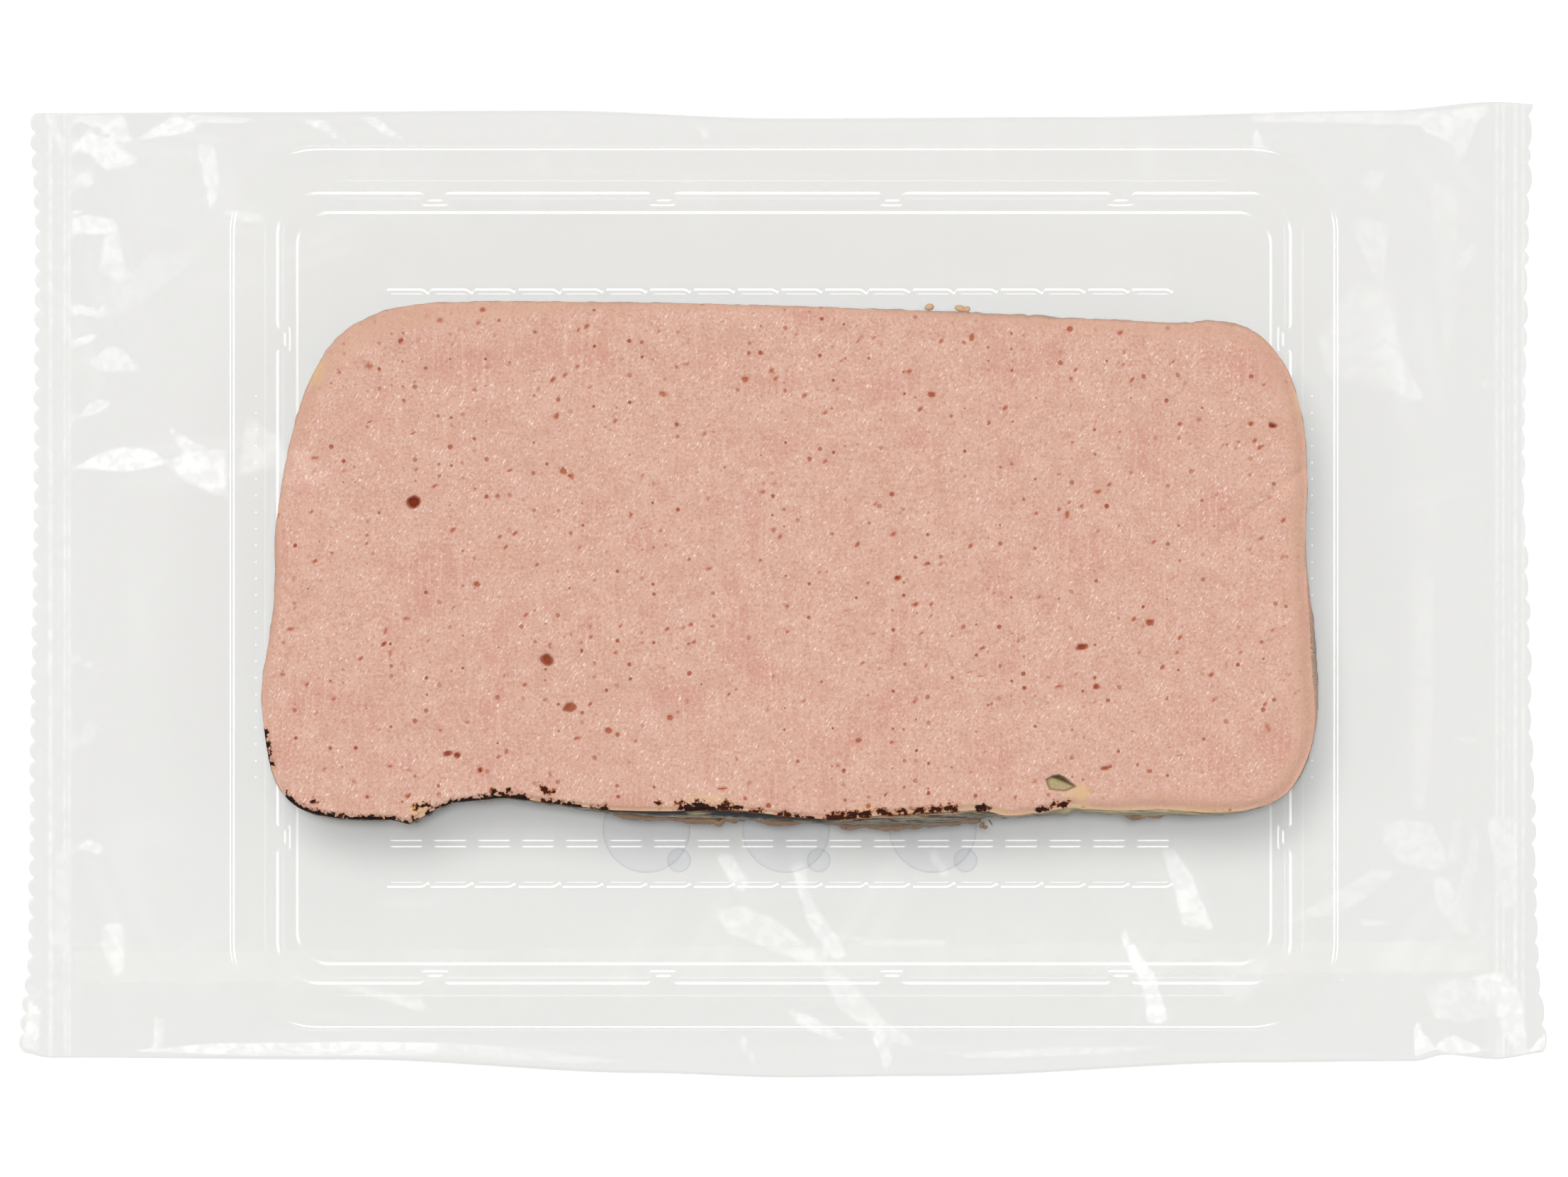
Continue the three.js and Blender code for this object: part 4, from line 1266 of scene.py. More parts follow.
# pits in the cut face: x, y, half length, half width, turn in degrees, depth, how dark
facePits = [
    (-53.5, 34.8, 0.5, 0.35, 60, 0.5, 0.8), (-57.9, 31.2, 0.7, 0.5, 0, 0.4, 0.35),
    (-62.2, 30.3, 0.25, 0.2, 0, 0.3, 0.9), (-42.0, 39.1, 0.5, 0.3, 0, 0.3, 0.5),
    (-48.0, 37.6, 0.6, 0.4, 0, 0.3, 0.35), (-51.5, 31.9, 0.35, 0.3, 0, 0.3, 0.6),
    (-31.5, 29.1, 0.3, 0.25, 0, 0.3, 0.9), (-34.2, 28.2, 0.3, 0.4, 0, 0.3, 0.5),
    (-51.7, 12.2, 1.0, 0.8, 20, 0.9, 1.0), (-33.1, -9.8, 1.0, 0.8, -40, 0.9, 0.8),
    (-29.8, -16.5, 1.0, 0.7, 10, 0.6, 0.7), (-46.9, -22.9, 0.6, 0.4, 20, 0.5, 0.8),
    (-45.6, -23.2, 0.45, 0.4, 0, 0.5, 0.8), (-42.4, -25.2, 0.4, 0.35, 0, 0.4, 1.0),
    (68.2, 22.9, 0.7, 0.4, -5, 0.6, 0.9), (65.4, 23.2, 0.3, 0.25, 0, 0.3, 0.7),
    (66.9, 17.5, 0.25, 0.3, 0, 0.3, 0.7), (66.5, 19.7, 0.25, 0.2, 0, 0.3, 0.7),
    (69.8, 9.6, 0.25, 0.2, 0, 0.3, 0.7), (67.5, -19.3, 0.5, 0.9, 20, 0.15, 0.3),
    (41.6, -8.0, 0.9, 0.5, 10, 0.6, 0.8), (39.9, 36.4, 0.45, 0.5, 0, 0.4, 0.6),
    (51.0, -4.6, 0.6, 0.5, 0, 0.5, 0.7), (45.0, -24.9, 0.85, 0.28, 15, 0.5, 0.7),
    (43.6, -13.5, 0.45, 0.4, 0, 0.4, 0.8), (-5.4, 29.4, 0.6, 0.5, 0, 0.5, 0.5),
    (20.6, 27.2, 0.6, 0.45, 0, 0.5, 0.7), (19.2, 25.3, 0.4, 0.3, 0, 0.3, 0.7),
    (-30.8, 16.6, 0.5, 0.5, 0, 0.4, 0.6), (-8.6, -27.8, 1.1, 0.12, -3, 0.3, 0.7),
    (-42.9, 0.8, 0.45, 0.35, 0, 0.4, 0.6), (15.8, 1.6, 0.5, 0.4, 30, 0.5, 0.8),
    (18.2, -2.1, 0.3, 0.3, 0, 0.3, 1.0), (-24.5, -19.7, 0.5, 0.4, 0, 0.4, 0.6),
    (-15.9, -17.9, 0.5, 0.45, 0, 0.4, 0.5), (10.0, 34.6, 0.3, 0.3, 0, 0.3, 1.0),
    (-55.8, -7.6, 0.3, 0.25, 0, 0.3, 1.0), (-16.9, 27.3, 0.6, 0.5, 0, 0.4, 0.4),
    (-27.7, 36.6, 0.4, 0.35, 0, 0.4, 0.8), (12.5, 35.4, 0.35, 0.3, 0, 0.3, 0.7),
    (43.7, 13.6, 0.4, 0.35, 0, 0.3, 0.7), (10.4, -21.1, 0.5, 0.3, 0, 0.3, 0.6),
    (14.3, -28.8, 0.25, 0.35, 0, 0.3, 0.8), (-52.5, -28.9, 0.35, 0.3, 0, 0.4, 0.8),
]

holeShape = {
    "outline": [
        (36.6, -26.5), (37.6, -26), (38.4, -25.9), (39.2, -26.3), (39.9, -26.9), (40.7, -27.5),
        (40.1, -27.7), (39.3, -28.1), (38.1, -28), (37.1, -27.8), (36.8, -27.1),
    ],
    "depth": 1.3,
}

smallPits = {
    "seed": 29, "count": 520, "x": (-72, 72), "y": (-31, 38), "radius": (0.14, 0.42), "depth": (0.08, 0.3),
    "dark": (0.1, 0.7), "reach": 1.5,
}

# burnt crust on the cut face's lower edge: how brown, and its corners
burntPatches = [
    (0.1, [(-15, -30.7), (-13.7, -30.1), (-12.7, -29.9), (-11.8, -29.4), (-11, -29.9), (-10.2, -30.4),
           (-8.8, -30.6), (-9.6, -30.9), (-14.6, -30.9)]),
    (0.6, [(5.5, -32.1), (6.2, -31.4), (7.4, -31.2), (9.1, -31.1), (12, -31), (12.2, -31.5), (10.5, -31.8),
           (8.1, -32.1), (6.2, -32.4)]),
    (0.7, [(12.9, -30.6), (13.8, -30.7), (15, -31.2), (14.2, -31.4), (13.2, -31)]),
    (0.6, [(15.5, -30.8), (17, -30.8), (17.1, -31.2), (15.7, -31.2)]),
    (0.6, [(17.9, -30.7), (19.7, -30.6), (19.7, -31.1), (18, -31.1)]),
    (0.6, [(20, -30.6), (21.8, -30.4), (23.9, -30.2), (24, -30.8), (21.8, -30.9), (20.2, -31)]),
    (0.3, [(27, -30.2), (28.4, -30.1), (28.6, -30.8), (27.2, -30.8)]),
    (0.3, [(35, -30.9), (35.8, -30.3), (36.9, -30.4), (36.9, -30.8), (35.6, -31)]),
    (0.5, [(37.2, -30.2), (37.8, -29.8), (38.5, -29.9), (38.2, -30.3)]),
    (0.4, [(38.6, -30.1), (39.5, -29.6), (39.7, -29.8), (39.1, -30.3)]),
    (0.2, [(1.6, -31.6), (2.8, -31.4), (4, -31.8), (3.6, -32.1), (2.2, -31.9)]),
    (0.6, [(-1.1, -31.3), (0.6, -31.2), (1.1, -31.6), (-0.4, -31.6)]),
    (0.6, [(-4.9, -30.8), (-3, -30.7), (-3.1, -31.1), (-4.6, -31.1)]),
    (0.9, [(-8.7, -30), (-7.5, -29.7), (-7.4, -30), (-8.5, -30.2)]),
    (0.4, [(-9.2, -30.3), (-6, -30.4), (-5.8, -30.7), (-9.1, -30.7)]),
    (0.5, [(-17.8, -29.8), (-17.3, -29.6), (-17.1, -29.9), (-17.5, -30.2)]),
    (0.9, [(-15, -29.8), (-14.4, -29.6), (-14, -29.9), (-14.5, -30.1)]),
    (0.5, [(-26, -30.3), (-24.9, -30.3), (-24.8, -30.6), (-25.9, -30.6)]),
    (0.2, [(-34.2, -29.3), (-32.3, -29.4), (-30.5, -29.7), (-28.9, -30.1), (-29.2, -30.5), (-34, -29.8)]),
    (0.1, [(-42.5, -28.9), (-41.4, -28.7), (-40.8, -29.1), (-41.4, -29.7), (-42.4, -29.7)]),
    (0.1, [(-40.8, -28.9), (-38.5, -28.7), (-37, -28.9), (-35.8, -29.3), (-35.4, -29.7), (-40.8, -29.5)]),
    (0.2, [(-40.8, -28), (-40.3, -28), (-40.3, -28.5), (-40.7, -28.5)]),
    (0.3, [(-40, -28.3), (-39.2, -28.3), (-39.3, -28.6), (-40, -28.6)]),
    (0.2, [(-38.5, -27.8), (-38, -27.9), (-38, -28.3), (-38.5, -28.2)]),
    (0.2, [(-37, -28.4), (-36.4, -28.5), (-36.5, -28.9), (-37, -28.8)]),
    (0.8, [(-34, -27.4), (-33.5, -27.4), (-33, -28.1), (-32.2, -28.2), (-33.4, -28.4)]),
    (0.2, [(-50.8, -29.9), (-50.3, -29.8), (-50.2, -30.2), (-50.7, -30.3)]),
    (0.2, [(-50, -29.7), (-49.4, -29.8), (-49.5, -30.4), (-49.9, -30.3)]),
    (0.8, [(-51.7, -30), (-51.2, -30), (-51.2, -30.5), (-51.6, -30.5)]),
    (0.2, [(-51.9, -31.9), (-51.2, -31.8), (-51.1, -32.2), (-51.8, -32.3)]),
    (0.6, [(-65.9, -29.4), (-65.4, -29.2), (-65.3, -29.6), (-65.8, -29.8)]),
]

# thin black skin on the rim: x from, x to, how wide it shows
skinLines = [
    (-70.5, -61.5, 0.4), (-61.5, -55.2, 0.3), (-55.2, -52.0, 0.22), (-50.0, -46.0, 0.2),
    (-46.0, -42.5, 0.3), (-42.5, -35.5, 0.28), (-33.5, -28.5, 0.22), (-27.0, -25.0, 0.16),
]

# how dark the lower wall is and how far down, along the slice
slateAlong = [
    (-27, 0.3), (-24, 1), (-15, 0.9), (-12, 0.4), (-8.5, 0.95), (3, 0.85), (8, 0.3), (30, 0.25), (43, 0),
]
slateDown = [(-27, 0.05), (-9, 0.07), (4, 0.12), (10, 0.3), (35, 0.3)]

# cream and straw fat near the lower edge: x, y, half length, half width, strength
creamSpots = [
    (-51, -30.7, 1.7, 1.3, 0.7), (-10.5, -29.3, 3.6, 1.0, 0.35), (11.5, -30.7, 1.6, 0.5, 0.5),
    (26, -30, 1.8, 0.7, 0.25), (30.3, -31, 1.5, 0.7, 0.45), (41.4, -28.3, 1.7, 1.4, 0.7),
    (40.2, -28.6, 1.2, 0.7, 0.6), (41.8, -30.2, 1.6, 0.8, 0.6), (57, -30.5, 5.5, 0.5, 0.35),
    (49, -30.6, 6, 0.35, 0.25), (-31, -29.4, 3, 0.6, 0.2), (-20, -30.4, 7, 0.4, 0.3),
    (20, -30.7, 6, 0.5, 0.25), (-65.2, 30.8, 1.2, 2.6, 0.6), (71.8, 26.5, 1, 3, 0.3),
]

# smooth outer bands of the cut face: bearing in degrees, how wide
smoothBands = [
    (-180, 0.8), (-150, 0.6), (-100, 0.5), (-40, 0.8), (-28, 2.6), (-15, 3.2), (0, 2.6), (15, 2.6),
    (25, 3.4), (32, 2.4), (45, 0.9), (90, 0.7), (125, 0.9), (138, 2.6), (148, 4.0), (156, 2.6),
    (165, 0.8), (180, 0.8),
]


def outwards(loop):
    # unit arrows out of a closed anticlockwise loop
    run = np.roll(loop, -1, 0) - np.roll(loop, 1, 0)
    run = run / np.linalg.norm(run, axis=1)[:, None]
    return np.stack([run[:, 1], -run[:, 0]], axis=1)


sliceOut = outwards(sliceLoop)


insetValues = {
    "plain": 0.12,          # how far the cut face stops short of the slice's outline, and the least of it
    "least": 0.06,
    "right": 0.14,
    "rightBulge": 0.8,
    "rightBulgeY": -9,
    "highBulge": 0.5,
    "highBulgeX": 33,
    "bulgeReach": 9,
    "bumps": 0.5,
    "wander": 0.2,
}


def lowShift(x, y):
    # how far a point of the plain outline's inside moves up or down near the stepped lower edge
    return eased(sliceValues["lowSteps"], x) * smooth((-y - 20) / 9)


def edgeInset():
    # how far the cut face stops short of the slice's outline, all round
    v = insetValues
    x, y = sliceLoop.T
    low = (np.interp(x, *zip(*faceLowEdge)) - y - lowShift(x, y)) * np.abs(sliceOut[:, 1])
    right = v["right"] + v["rightBulge"] * hump((y - v["rightBulgeY"]) / v["bulgeReach"])
    high = v["plain"] + v["highBulge"] * hump((x - v["highBulgeX"]) / v["bulgeReach"])
    high = high + v["bumps"] * (blotches(x, y, 0.9, 32) - 0.5)
    onRight = smooth((x - 66) / 3)
    onLow = smooth((-y - 25) / 4) * (1 - onRight) * smooth((x + 71.5) / 2)
    onHigh = smooth((y - 28) / 5)
    rest = v["plain"] * (1 - onLow) * (1 - onRight) * (1 - onHigh)
    wander = v["wander"] * (blotches(x, y, 2.5, 31) - 0.5) * (1 - onLow)
    inset = low * onLow + right * onRight + high * onHigh * (1 - onRight) + rest + wander
    return np.maximum(inset, v["least"])


faceLoop = sliceLoop - sliceOut * edgeInset()[:, None]


def turned(x, y, pit):
    # a point in a pit's own axes, 1 on its rim
    px, py, halfLength, halfWidth, turn = pit[:5]
    cos, sin = math.cos(math.radians(turn)), math.sin(math.radians(turn))
    along = ((x - px) * cos + (y - py) * sin) / halfLength
    across = (-(x - px) * sin + (y - py) * cos) / halfWidth
    return along, across


def pitsAt(x, y):
    # how deep and how dark the pits are
    depth, dark = np.zeros_like(x), np.zeros_like(x)
    for pit in facePits:
        along, across = turned(x, y, pit)
        wobble = 1 + 0.5 * (blotches(x, y, 0.6, 12) - 0.5)
        inside = 1 - smooth((np.hypot(along, across) * wobble - 0.55) / 0.6)
        depth += pit[5] * inside
        dark = np.maximum(dark, inside * pit[6])
    v = smallPits
    rng = np.random.default_rng(v["seed"])
    for k in range(v["count"]):
        px, py, radius, deep = [rng.uniform(*v[name]) for name in ("x", "y", "radius", "depth")]
        near = (np.abs(x - px) < v["reach"]) & (np.abs(y - py) < v["reach"])
        away = np.hypot(x[near] - px, y[near] - py) / radius
        inside = 1 - smooth((away - 0.4) / 0.9)
        depth[near] += deep * inside
        dark[near] = np.maximum(dark[near], inside * rng.uniform(*v["dark"]))
    return depth, dark


def sliceGrid():
    # the cut face: a grid pushed out to the face's outline
    v = sliceValues
    mesh, u, w = flatGrid("face", v["columns"], v["rows"])
    u, w = u * 2 - 1, w * 2 - 1
    square = np.maximum(np.maximum(np.abs(u), np.abs(w)), 1e-6)
    bearing = np.arctan2(w / square * v["halfRows"], u / square * v["halfColumns"])
    even = evenReach(faceLoop, bearing)
    atRim = smooth((square - v["evenUpTo"]) / (1 - v["evenUpTo"]))
    reach = (even + (reachOf(faceLoop, bearing) - even) * atRim) * square
    placePoints(mesh, reach * np.cos(bearing), reach * np.sin(bearing), np.full(len(u), v["top"]))
    return mesh


def refineWhere(bm, wanted, cuts):
    # more points where a piece has its small shapes
    chosen = [e for e in bm.edges if wanted((e.verts[0].co + e.verts[1].co) / 2 / mm)]
    bmesh.ops.subdivide_edges(bm, edges=chosen, cuts=cuts, use_grid_fill=True)


refineValues = {
    "pitsOver": 0.4,
    "pitMargin": 0.5,
    "holeX": 38.6,
    "holeY": -27,
    "holeReach": 2.9,
    "rimFrom": -71,
    "rimTo": 66,
    "rimBand": 1.9,
}


def nearPit(place):
    v = refineValues
    wide = [pit for pit in facePits if pit[2] > v["pitsOver"]]
    return any(math.hypot(place.x - pit[0], place.y - pit[1]) < pit[2] + v["pitMargin"] for pit in wide)


def nearLowRim(place):
    v = refineValues
    edge = float(np.interp(place.x, *zip(*faceLowEdge)))
    inHole = math.hypot(place.x - v["holeX"], place.y - v["holeY"]) < v["holeReach"]
    return inHole or (v["rimFrom"] < place.x < v["rimTo"] and place.y < edge + v["rimBand"])


def slicePiece():
    v = sliceValues
    bm = bmesh.new()
    face = sliceGrid()
    bm.from_mesh(face)
    bpy.data.meshes.remove(face)
    refineWhere(bm, nearPit, 1)
    refineWhere(bm, nearLowRim, 2)
    ring = [e for e in bm.edges if e.is_boundary]
    thickness = v["top"] - v["underside"]
    for above, level in zip([0.0] + v["wallRings"], v["wallRings"]):
        made = bmesh.ops.extrude_edge_only(bm, edges=ring)
        lower = [g for g in made["geom"] if isinstance(g, bmesh.types.BMVert)]
        bmesh.ops.translate(bm, vec=(0, 0, (above - level) * thickness * mm), verts=lower)
        ring = [g for g in made["geom"] if isinstance(g, bmesh.types.BMEdge) and g.is_boundary]
    bmesh.ops.contextual_create(bm, geom=ring)
    bmesh.ops.recalc_face_normals(bm, faces=bm.faces)
    piece = finishPiece("pate_slice", bm, [pateFlesh])
    shapeSlice(piece.data)
    return piece


wallValues = {
    "meanRadius": 60,       # turns a bearing into a way round the slice
    "ragged": 0.25,         # how far the walls' lumps and layers stand out, and the most of it
    "layered": 0.3,
    "mostOut": 0.2,
    "growOver": 0.15,       # share of the way down over which they grow
    "lowSide": (-20, 6),    # where the side with the crust starts, and how gently
    "underRim": 0.1,        # share of the way down where the wall hangs straight under the rim
    "underRimFall": 6,
}

# burnt crust and skin: shares of the way down, widths and places
burntValues = {
    "fleshDown": 0.02,
    "skinDown": 0.1,
    "deepest": 0.26,
    "unevenSkin": (0.6, 0.8),
    "skinFromX": -69.6,
    "leftSkinUpToX": -60,
    "leftSkinWidth": 0.3,
    "leftSkinY": -22,
    "leftSkinHalf": 2.5,
}

fatValues = {
    "edge": 0.4,            # strength and width of the fat along the lower edge, and where it starts
    "edgeWidth": 0.28,
    "edgeFromX": -36,
    "outline": (0.9, 0.5),
    "fade": 0.6,
}


def slicePlaces(mesh):
    # where the slice's points lie: on the cut face or down its wall, and how far in from the edge
    v = sliceValues
    x, y, z = pointsOf(mesh)
    bearing, reach = np.arctan2(y, x), np.hypot(x, y)       # in the outline without its steps
    outX, outY = [byBearing(sliceLoop, sliceOut[:, axis], bearing) for axis in (0, 1)]
    down = (v["top"] - z) / (v["top"] - v["underside"])
    onFace = down < v["wallRings"][0] / 2
    squarely = np.abs(outX * np.cos(bearing) + outY * np.sin(bearing))
    inwards = (reachOf(faceLoop, bearing) - reach) * squarely
    y = y + lowShift(x, y)
    low = (y < v["lowEdgeY"]) & (x > v["lowFromX"]) & (x < v["lowToX"])
    inwards = np.where(low, np.minimum(inwards, y - np.interp(x, *zip(*faceLowEdge))), inwards)
    inwards = np.where(onFace, np.maximum(inwards, 0), 0)
    lowSideFrom, lowSideRun = wallValues["lowSide"]
    return SimpleNamespace(
        x=x, y=y, z=z, bearing=bearing, outX=outX, outY=outY, down=down, onFace=onFace, inwards=inwards,
        low=low, lowSide=smooth((lowSideFrom - y) / lowSideRun),
        inset=byBearing(sliceLoop, edgeInset(), bearing),
        bandWidth=np.interp(np.degrees(bearing), *zip(*smoothBands)),
        inHole=insideBy(x, y, holeShape["outline"]),
    )


def faceHeight(at, depth, hole):
    # the cut face: slight waves, streaks, pits, a crease and a rounded rim
    v = sliceValues
    x, y = at.x, at.y
    broad, broadCell = v["wave"]
    fine, fineCell = v["fineWave"]
    wave = broad * (blotches(x, y, broadCell, 41) - 0.5) + fine * (blotches(x, y, fineCell, 42) - 0.5)
    streaks = v["streakHeight"] * (blotches(x * 14, y, 18, 43) - 0.5)
    crease, _ = offLine(x, y, *v["crease"])
    rounded = 1 - smooth(at.inwards / (v["rimRound"] + 0.5 * at.bandWidth))
    rim = (v["rimDrop"] + v["bandDrop"] * at.bandWidth) * rounded ** 1.7
    height = v["top"] - 0.1 + wave + streaks - depth - holeShape["depth"] * hole - rim
    return height - v["creaseDepth"] * hump(crease / v["creaseWidth"])


def wallPlaces(at):
    # the walls: out to the slice's outline, ragged, and tucked in at the foot
    v, w = sliceValues, wallValues
    spread = np.interp(at.down, *zip(*v["wallSpread"]))
    around = at.bearing * w["meanRadius"]
    ragged = blotches(around, at.z, 1.6, 51) + 0.5 * blotches(around, at.z, 0.7, 52) - 0.75
    layers = blotches(at.x / 5, at.z * 2, 0.6, 53) - 0.5
    lumps = w["ragged"] * ragged + w["layered"] * layers * at.lowSide
    push = at.inset * spread + lumps * smooth(at.down / w["growOver"])
    push = np.minimum(push, at.inset + w["mostOut"])
    top = v["top"] - v["rimDrop"] - v["bandDrop"] * at.bandWidth
    height = at.z - v["rimDrop"] * (1 - smooth(at.down / 0.5)) + 0.1 * (1 - at.down)
    height = np.minimum(height, top - 0.1)
    straight = np.minimum(height, top - w["underRimFall"] * at.down)
    height = np.where(at.down < w["underRim"], straight, height)
    return at.x + at.outX * push, at.y + at.outY * push, height


def burntShares(at):
    # how far inside the burnt patches or the black skin a point lies, and how brown they are
    v = burntValues
    x, y = at.x, at.y
    char, brownness = np.full(x.shape, -1.0), np.zeros_like(x)
    for brown, corners in burntPatches:
        inside = insideBy(x, y, corners)
        better = inside > char
        char, brownness = np.where(better, inside, char), np.where(better, brown, brownness)
    skin = np.full(x.shape, -1.0)
    narrow, uneven = v["unevenSkin"]
    wander = narrow + uneven * blotches(x, y, 1.1, 61)
    for fromX, toX, width in skinLines:
        ends = np.minimum(x - fromX, toX - x)
        skin = np.maximum(skin, np.minimum(width * wander - at.inwards, ends))
    leftEnds = v["leftSkinHalf"] - np.abs(y - v["leftSkinY"])
    leftSkin = np.minimum(v["leftSkinWidth"] - at.inwards, leftEnds)
    onSkin = (at.low | (y < sliceValues["lowEdgeY"])) & (x > v["skinFromX"])
    skin = np.where(onSkin, skin, np.where(x < v["leftSkinUpToX"], leftSkin, -1))
    skin = np.where(at.down < v["skinDown"], skin, -1)
    brownness = np.where(skin > char, 0, brownness)
    char = np.where(at.down < v["fleshDown"], np.maximum(char, skin), skin)
    return np.minimum(char, v["deepest"]), brownness


def fatShare(at):
    v = fatValues
    plain, uneven = v["outline"]
    fromLeft = smooth((at.x - v["edgeFromX"]) / 2)
    fat = v["edge"] * hump(at.inwards / v["edgeWidth"]) * at.low * fromLeft * at.onFace
    edge = plain + uneven * (blotches(at.x, at.y, 0.7, 62) - 0.5)
    for spotX, spotY, halfLength, halfWidth, strength in creamSpots:
        away = np.hypot((at.x - spotX) / halfLength, (at.y - spotY) / halfWidth)
        fat = np.maximum(fat, strength * (1 - smooth((away - edge * 0.5) / v["fade"])))
    return fat


def shapeSlice(mesh):
    # the slice's relief, then what its material reads
    at = slicePlaces(mesh)
    x, y, down, onFace = at.x, at.y, at.down, at.onFace
    depth, dark = pitsAt(x, y)
    hole = smooth(at.inHole / 0.3 + 0.5)
    wallX, wallY, wallZ = wallPlaces(at)
    faceZ = faceHeight(at, depth, hole)
    placePoints(mesh, np.where(onFace, x, wallX), np.where(onFace, y, wallY), np.where(onFace, faceZ, wallZ))

    char, brownness = burntShares(at)
    sideLow = 0.3 * smooth((down - 0.1) / 0.2)
    rightCrust = 0.5 * hump((y + 9) / 8) * (x > 60)
    slate = eased(slateAlong, x) * at.lowSide * (1 - smooth((down - eased(slateDown, x)) / 0.06))
    pale = 0.8 * hump((x + 12) / 2.6) * at.lowSide * hump((down - 0.06) / 0.04)
    holeShade = smooth((at.inHole + 0.1) / 0.3) * smooth((y + 26.95 + (x - 38.5) * 0.4) / 0.5)
    inBand = 1 - smooth((at.inwards - at.bandWidth * 0.6) / (at.bandWidth * 0.6))
    shares = {
        "char": char,
        "brownness": brownness,
        "cream": fatShare(at) * (1 - hole),
        "pit": np.where(onFace, dark, 0) * (1 - hole),
        "hole": np.where(onFace, hole, 0),
        "holeShade": np.where(onFace, holeShade, 0),
        "side": smooth(down / 0.012) * np.clip(at.lowSide + rightCrust + sideLow, 0, 1),
        "slate": np.clip(slate, 0, 1),
        "straw": np.maximum(smooth((x - 36) / 4) * at.lowSide, pale),
        "tanned": 0.35 * at.lowSide * smooth((down - 0.25) / 0.15),
        "band": np.where(onFace, inBand, 1),
    }
    for name, values in shares.items():
        addShare(mesh, name, values)


sliceObject = slicePiece()
print("slice ready", len(sliceObject.data.polygons), "faces")


# shreds of crust that hang from the lower edge: their lower edges as x and y
shredEdges = [
    [(-24, -31.3), (-22.9, -31.6), (-21.4, -32), (-19.5, -32.1), (-17.6, -32), (-15, -32.1), (-13.4, -32.5),
     (-11.5, -32.6), (-9.9, -32.5), (-9, -32.9), (-8.5, -32.2), (-7.6, -32.2), (-7, -32.6), (-6.3, -32),
     (-5.8, -31.6)],
    [(-4.6, -31.8), (-4, -32.2), (-2.6, -32.6), (-1, -32.8), (1.2, -32.8), (2.6, -32.5), (3.8, -32.4)],
    [(7.6, -32.6), (8.3, -33.3), (9.4, -33.4), (11, -33.1), (12.6, -33.2), (14.3, -33.5), (16, -33.4),
     (17.6, -33.2), (18.6, -33.3), (19.6, -32.9), (20.6, -33), (21.8, -32.8), (23.6, -32.8), (25.2, -32.5),
     (26.4, -32.6), (27.4, -32.2)],
    [(47.6, -31.2), (48.6, -31.9), (49.4, -32), (50.6, -31.6), (52.4, -31.7), (53.6, -31.3)],
]

shredValues = {
    "upTo": 0.5, "top": 13.6, "fall": 1.3, "thickness": 0.35, "frayed": 0.16, "bulge": 0.25,
    "pointsPerMm": 6, "rows": 8,
}

# loose bits of crust: x, y, z, half length, half width, half height, turn in degrees
crumbPlaces = [
    (20.3, 39.5, 14.6, 0.7, 0.5, 0.4, 20), (24.7, 39.3, 14.2, 0.9, 0.5, 0.4, -15),
    (25.6, 39.2, 14.3, 0.5, 0.4, 0.35, 40), (27.7, -33.0, 12.4, 0.5, 0.3, 0.3, 60),
    (28.2, -33.3, 12.2, 0.35, 0.25, 0.25, 10), (28.9, -32.6, 12.4, 0.5, 0.14, 0.2, -60),
]
crumbSeed, crumbLumps = 17, 0.09


def shreds():
    v = shredValues
    parts = []
    for number, edge in enumerate(shredEdges):
        stations = np.array(edge)
        columns = int((stations[-1, 0] - stations[0, 0]) * v["pointsPerMm"])
        mesh, u, w = flatGrid("shred", columns, v["rows"])
        x = stations[0, 0] + (stations[-1, 0] - stations[0, 0]) * u
        low = np.interp(x, *stations.T) + v["frayed"] * (blotches(x, x, 0.35, 71 + number) - 0.5)
        high = low + v["upTo"]
        bulge = v["bulge"] * (blotches(x, w * 3, 0.8, 75) - 0.5)
        placePoints(mesh, x, high + (low - high) * w, v["top"] - v["fall"] * w + bulge)
        parts.append(mesh)
    bm = joined("crust_shreds", parts)
    piece = finishPiece("crust_shreds", bm, [pateFlesh])
    shell = piece.modifiers.new("thickness", "SOLIDIFY")
    shell.thickness = v["thickness"] * mm
    shell.offset = -1
    crustShares(piece.data, 0.0)
    return piece


def crustShares(mesh, slate):
    count = len(mesh.vertices)
    for name, value in {"side": 1.0, "slate": slate, "char": -1.0, "band": 1.0, "tanned": 1.0}.items():
        addShare(mesh, name, np.full(count, value))


def crumbs():
    bm = bmesh.new()
    rng = np.random.default_rng(crumbSeed)
    for x, y, z, length, width, height, turn in crumbPlaces:
        made = bmesh.ops.create_icosphere(bm, subdivisions=3, radius=1)
        for vertex in made["verts"]:
            lump = 1 + rng.normal(0, crumbLumps)
            vertex.co = Vector((vertex.co.x * length, vertex.co.y * width, vertex.co.z * height)) * lump
        bmesh.ops.rotate(bm, verts=made["verts"], matrix=Matrix.Rotation(math.radians(turn), 3, "Z"))
        bmesh.ops.translate(bm, verts=made["verts"], vec=(x, y, z))
    bmesh.ops.scale(bm, verts=bm.verts, vec=(mm, mm, mm))
    axes = {"use_axis_x": True, "use_axis_y": True, "use_axis_z": True}
    bmesh.ops.smooth_vert(bm, verts=bm.verts, factor=0.5, **axes)
    piece = finishPiece("crust_crumbs", bm, [pateFlesh])
    crustShares(piece.data, 0.1)
    _, y, _ = pointsOf(piece.data)
    addShare(piece.data, "side", np.where(y > 0, 0.1, 1.0))
    addShare(piece.data, "cream", np.where(y > 0, 0.5, 0.0))
    return piece


shreds()
crumbs()
print("shreds and crumbs ready")


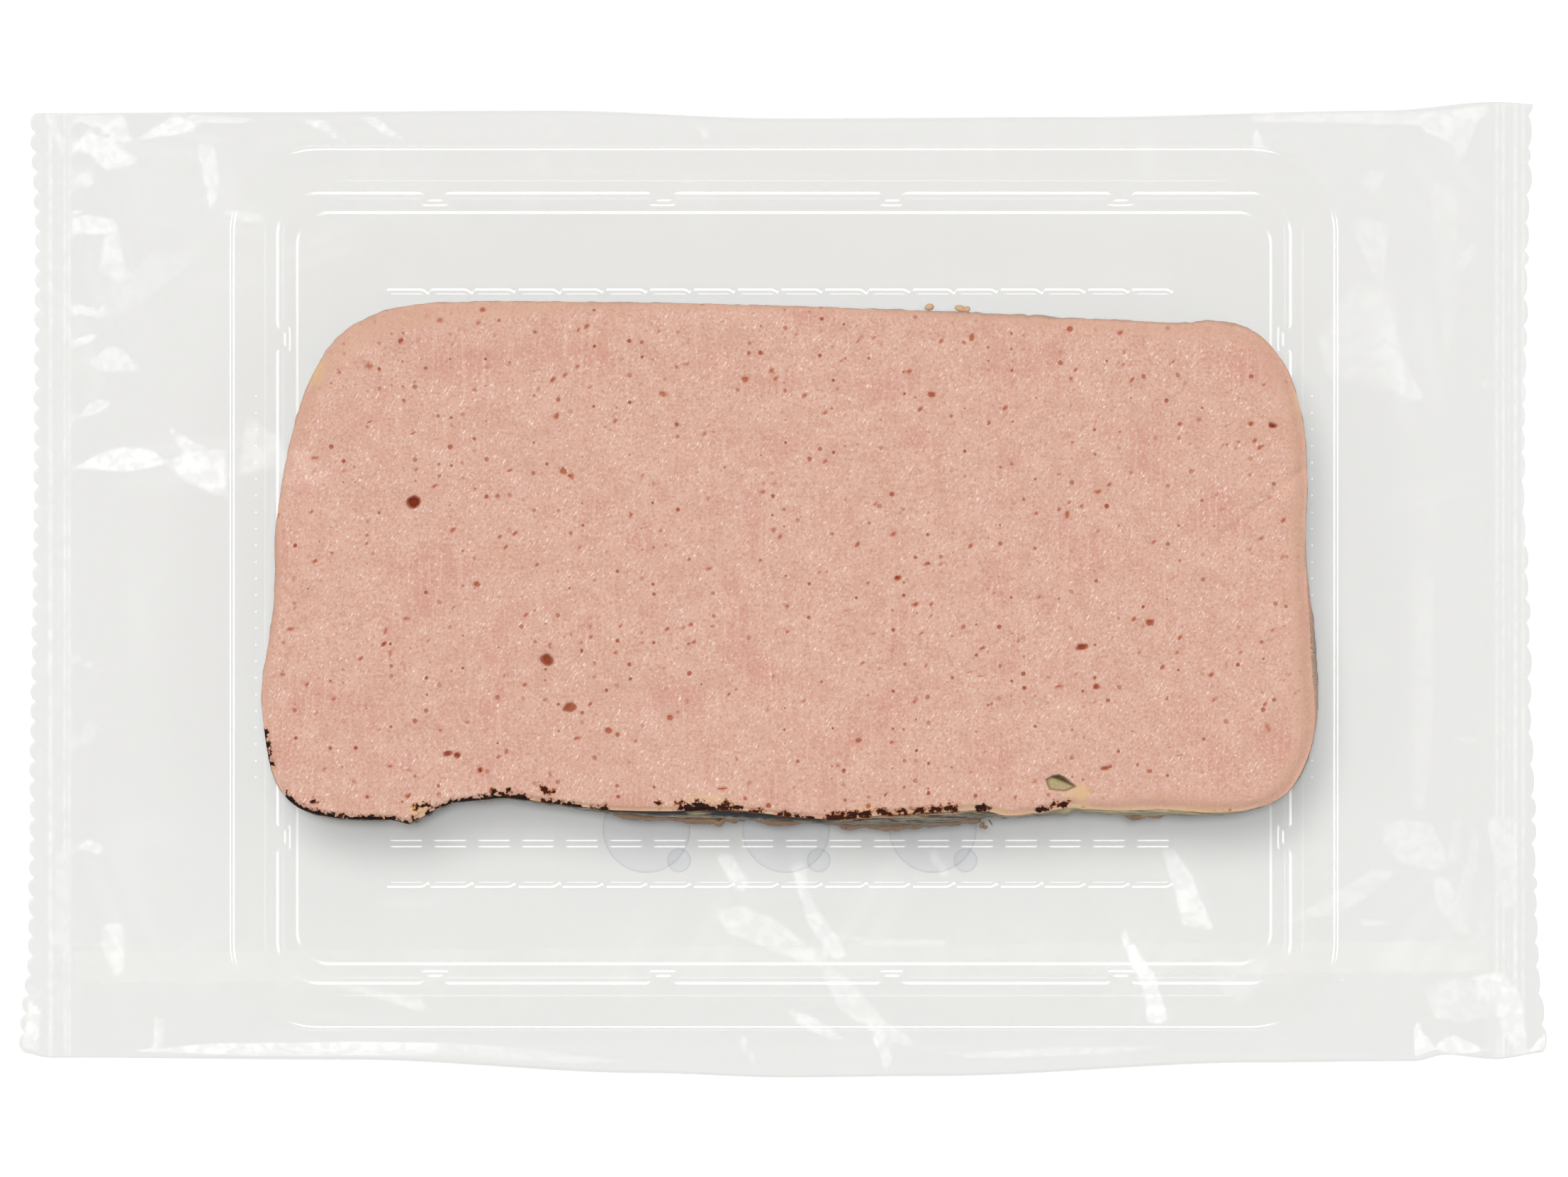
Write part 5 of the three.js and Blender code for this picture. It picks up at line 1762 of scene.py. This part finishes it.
studio = {
    "floorSize": 8.0,
    "floorTone": (0.85, 0.85, 0.85, 1),
    "world": 0.14,
    # broad lights from far off, which the film doesn't mirror: name, direction, power and width
    "suns": [("key", (-0.14, 0.31, 1.0), 1.62, 26.0), ("top", (0.0, 0.03, 1.0), 1.84, 9.0)],
    "boxRadiance": 1.2,
    "boxSize": (0.9, 0.24),
    "boxAway": 1.5,
    "boxUp": 50,
    "boxBearings": [0, 90, 180, 270],
    "cameraUp": 1600,
    "cameraY": 0.15,
    "viewWidth": 221.2,
    "sensor": 36,
}


def floorPiece():
    material, tree = newMaterial("pale floor")
    place = addNode(tree, "TexCoord").outputs["Object"]
    grain = noise(tree, place, 0.4, 2.0, 0.5)
    low = tuple(c * 0.985 for c in studio["floorTone"][:3]) + (1,)
    colour = mixColour(tree, grain, low, studio["floorTone"])
    surface(tree, addNode(tree, "BsdfDiffuse", {"Color": colour}).outputs[0])
    bm = bmesh.new()
    bmesh.ops.create_grid(bm, x_segments=8, y_segments=8, size=studio["floorSize"] / 2)
    mesh = bpy.data.meshes.new("floor")
    bm.to_mesh(mesh)
    bm.free()
    mesh.materials.append(material)
    floor = bpy.data.objects.new("floor", mesh)
    bpy.context.scene.collection.objects.link(floor)


def addLight(name, kind, place, aim=(0, 0, 0)):
    data = bpy.data.lights.new(name, kind)
    light = bpy.data.objects.new(name, data)
    bpy.context.scene.collection.objects.link(light)
    light.location = place
    light.rotation_mode = "QUATERNION"
    light.rotation_quaternion = (Vector(aim) - Vector(place)).to_track_quat("-Z", "Y")
    light.visible_camera = False
    return light


def lights():
    world = bpy.data.worlds.new("soft studio")
    bpy.context.scene.world = world
    world.use_nodes = True
    world.node_tree.nodes.clear()
    sky = world.node_tree.nodes.new("ShaderNodeBackground")
    sky.inputs["Color"].default_value = (1, 1, 1, 1)
    sky.inputs["Strength"].default_value = studio["world"]
    out = world.node_tree.nodes.new("ShaderNodeOutputWorld")
    world.node_tree.links.new(sky.outputs[0], out.inputs[0])
    for name, place, power, width in studio["suns"]:
        sun = addLight(name, "SUN", place)
        sun.visible_glossy = False
        sun.data.energy = power
        sun.data.angle = math.radians(width)
    up = math.radians(studio["boxUp"])
    for bearing in studio["boxBearings"]:
        turn = math.radians(bearing)
        across = studio["boxAway"] * math.cos(up)
        height = studio["boxAway"] * math.sin(up)
        place = (across * math.cos(turn), across * math.sin(turn), height)
        box = addLight(f"softbox{bearing}", "AREA", place).data
        box.shape = "RECTANGLE"
        box.size, box.size_y = studio["boxSize"]
        box.energy = studio["boxRadiance"] * box.size * box.size_y * math.pi


def camera():
    data = bpy.data.cameras.new("camera")
    data.sensor_width = studio["sensor"]
    data.lens = studio["sensor"] * studio["cameraUp"] / studio["viewWidth"]
    data.clip_start, data.clip_end = 0.01, 50
    view = bpy.data.objects.new("camera", data)
    view.location = (0, studio["cameraY"] * mm, studio["cameraUp"] * mm)
    bpy.context.scene.collection.objects.link(view)
    bpy.context.scene.camera = view


floorPiece()
lights()
camera()
scene = bpy.context.scene
scene.view_settings.view_transform = "Standard"
scene.cycles.transparent_max_bounces = 24
scene.cycles.max_bounces = 2
scene.cycles.diffuse_bounces = 1
scene.cycles.glossy_bounces = 1
scene.cycles.caustics_reflective = False
print("studio ready")
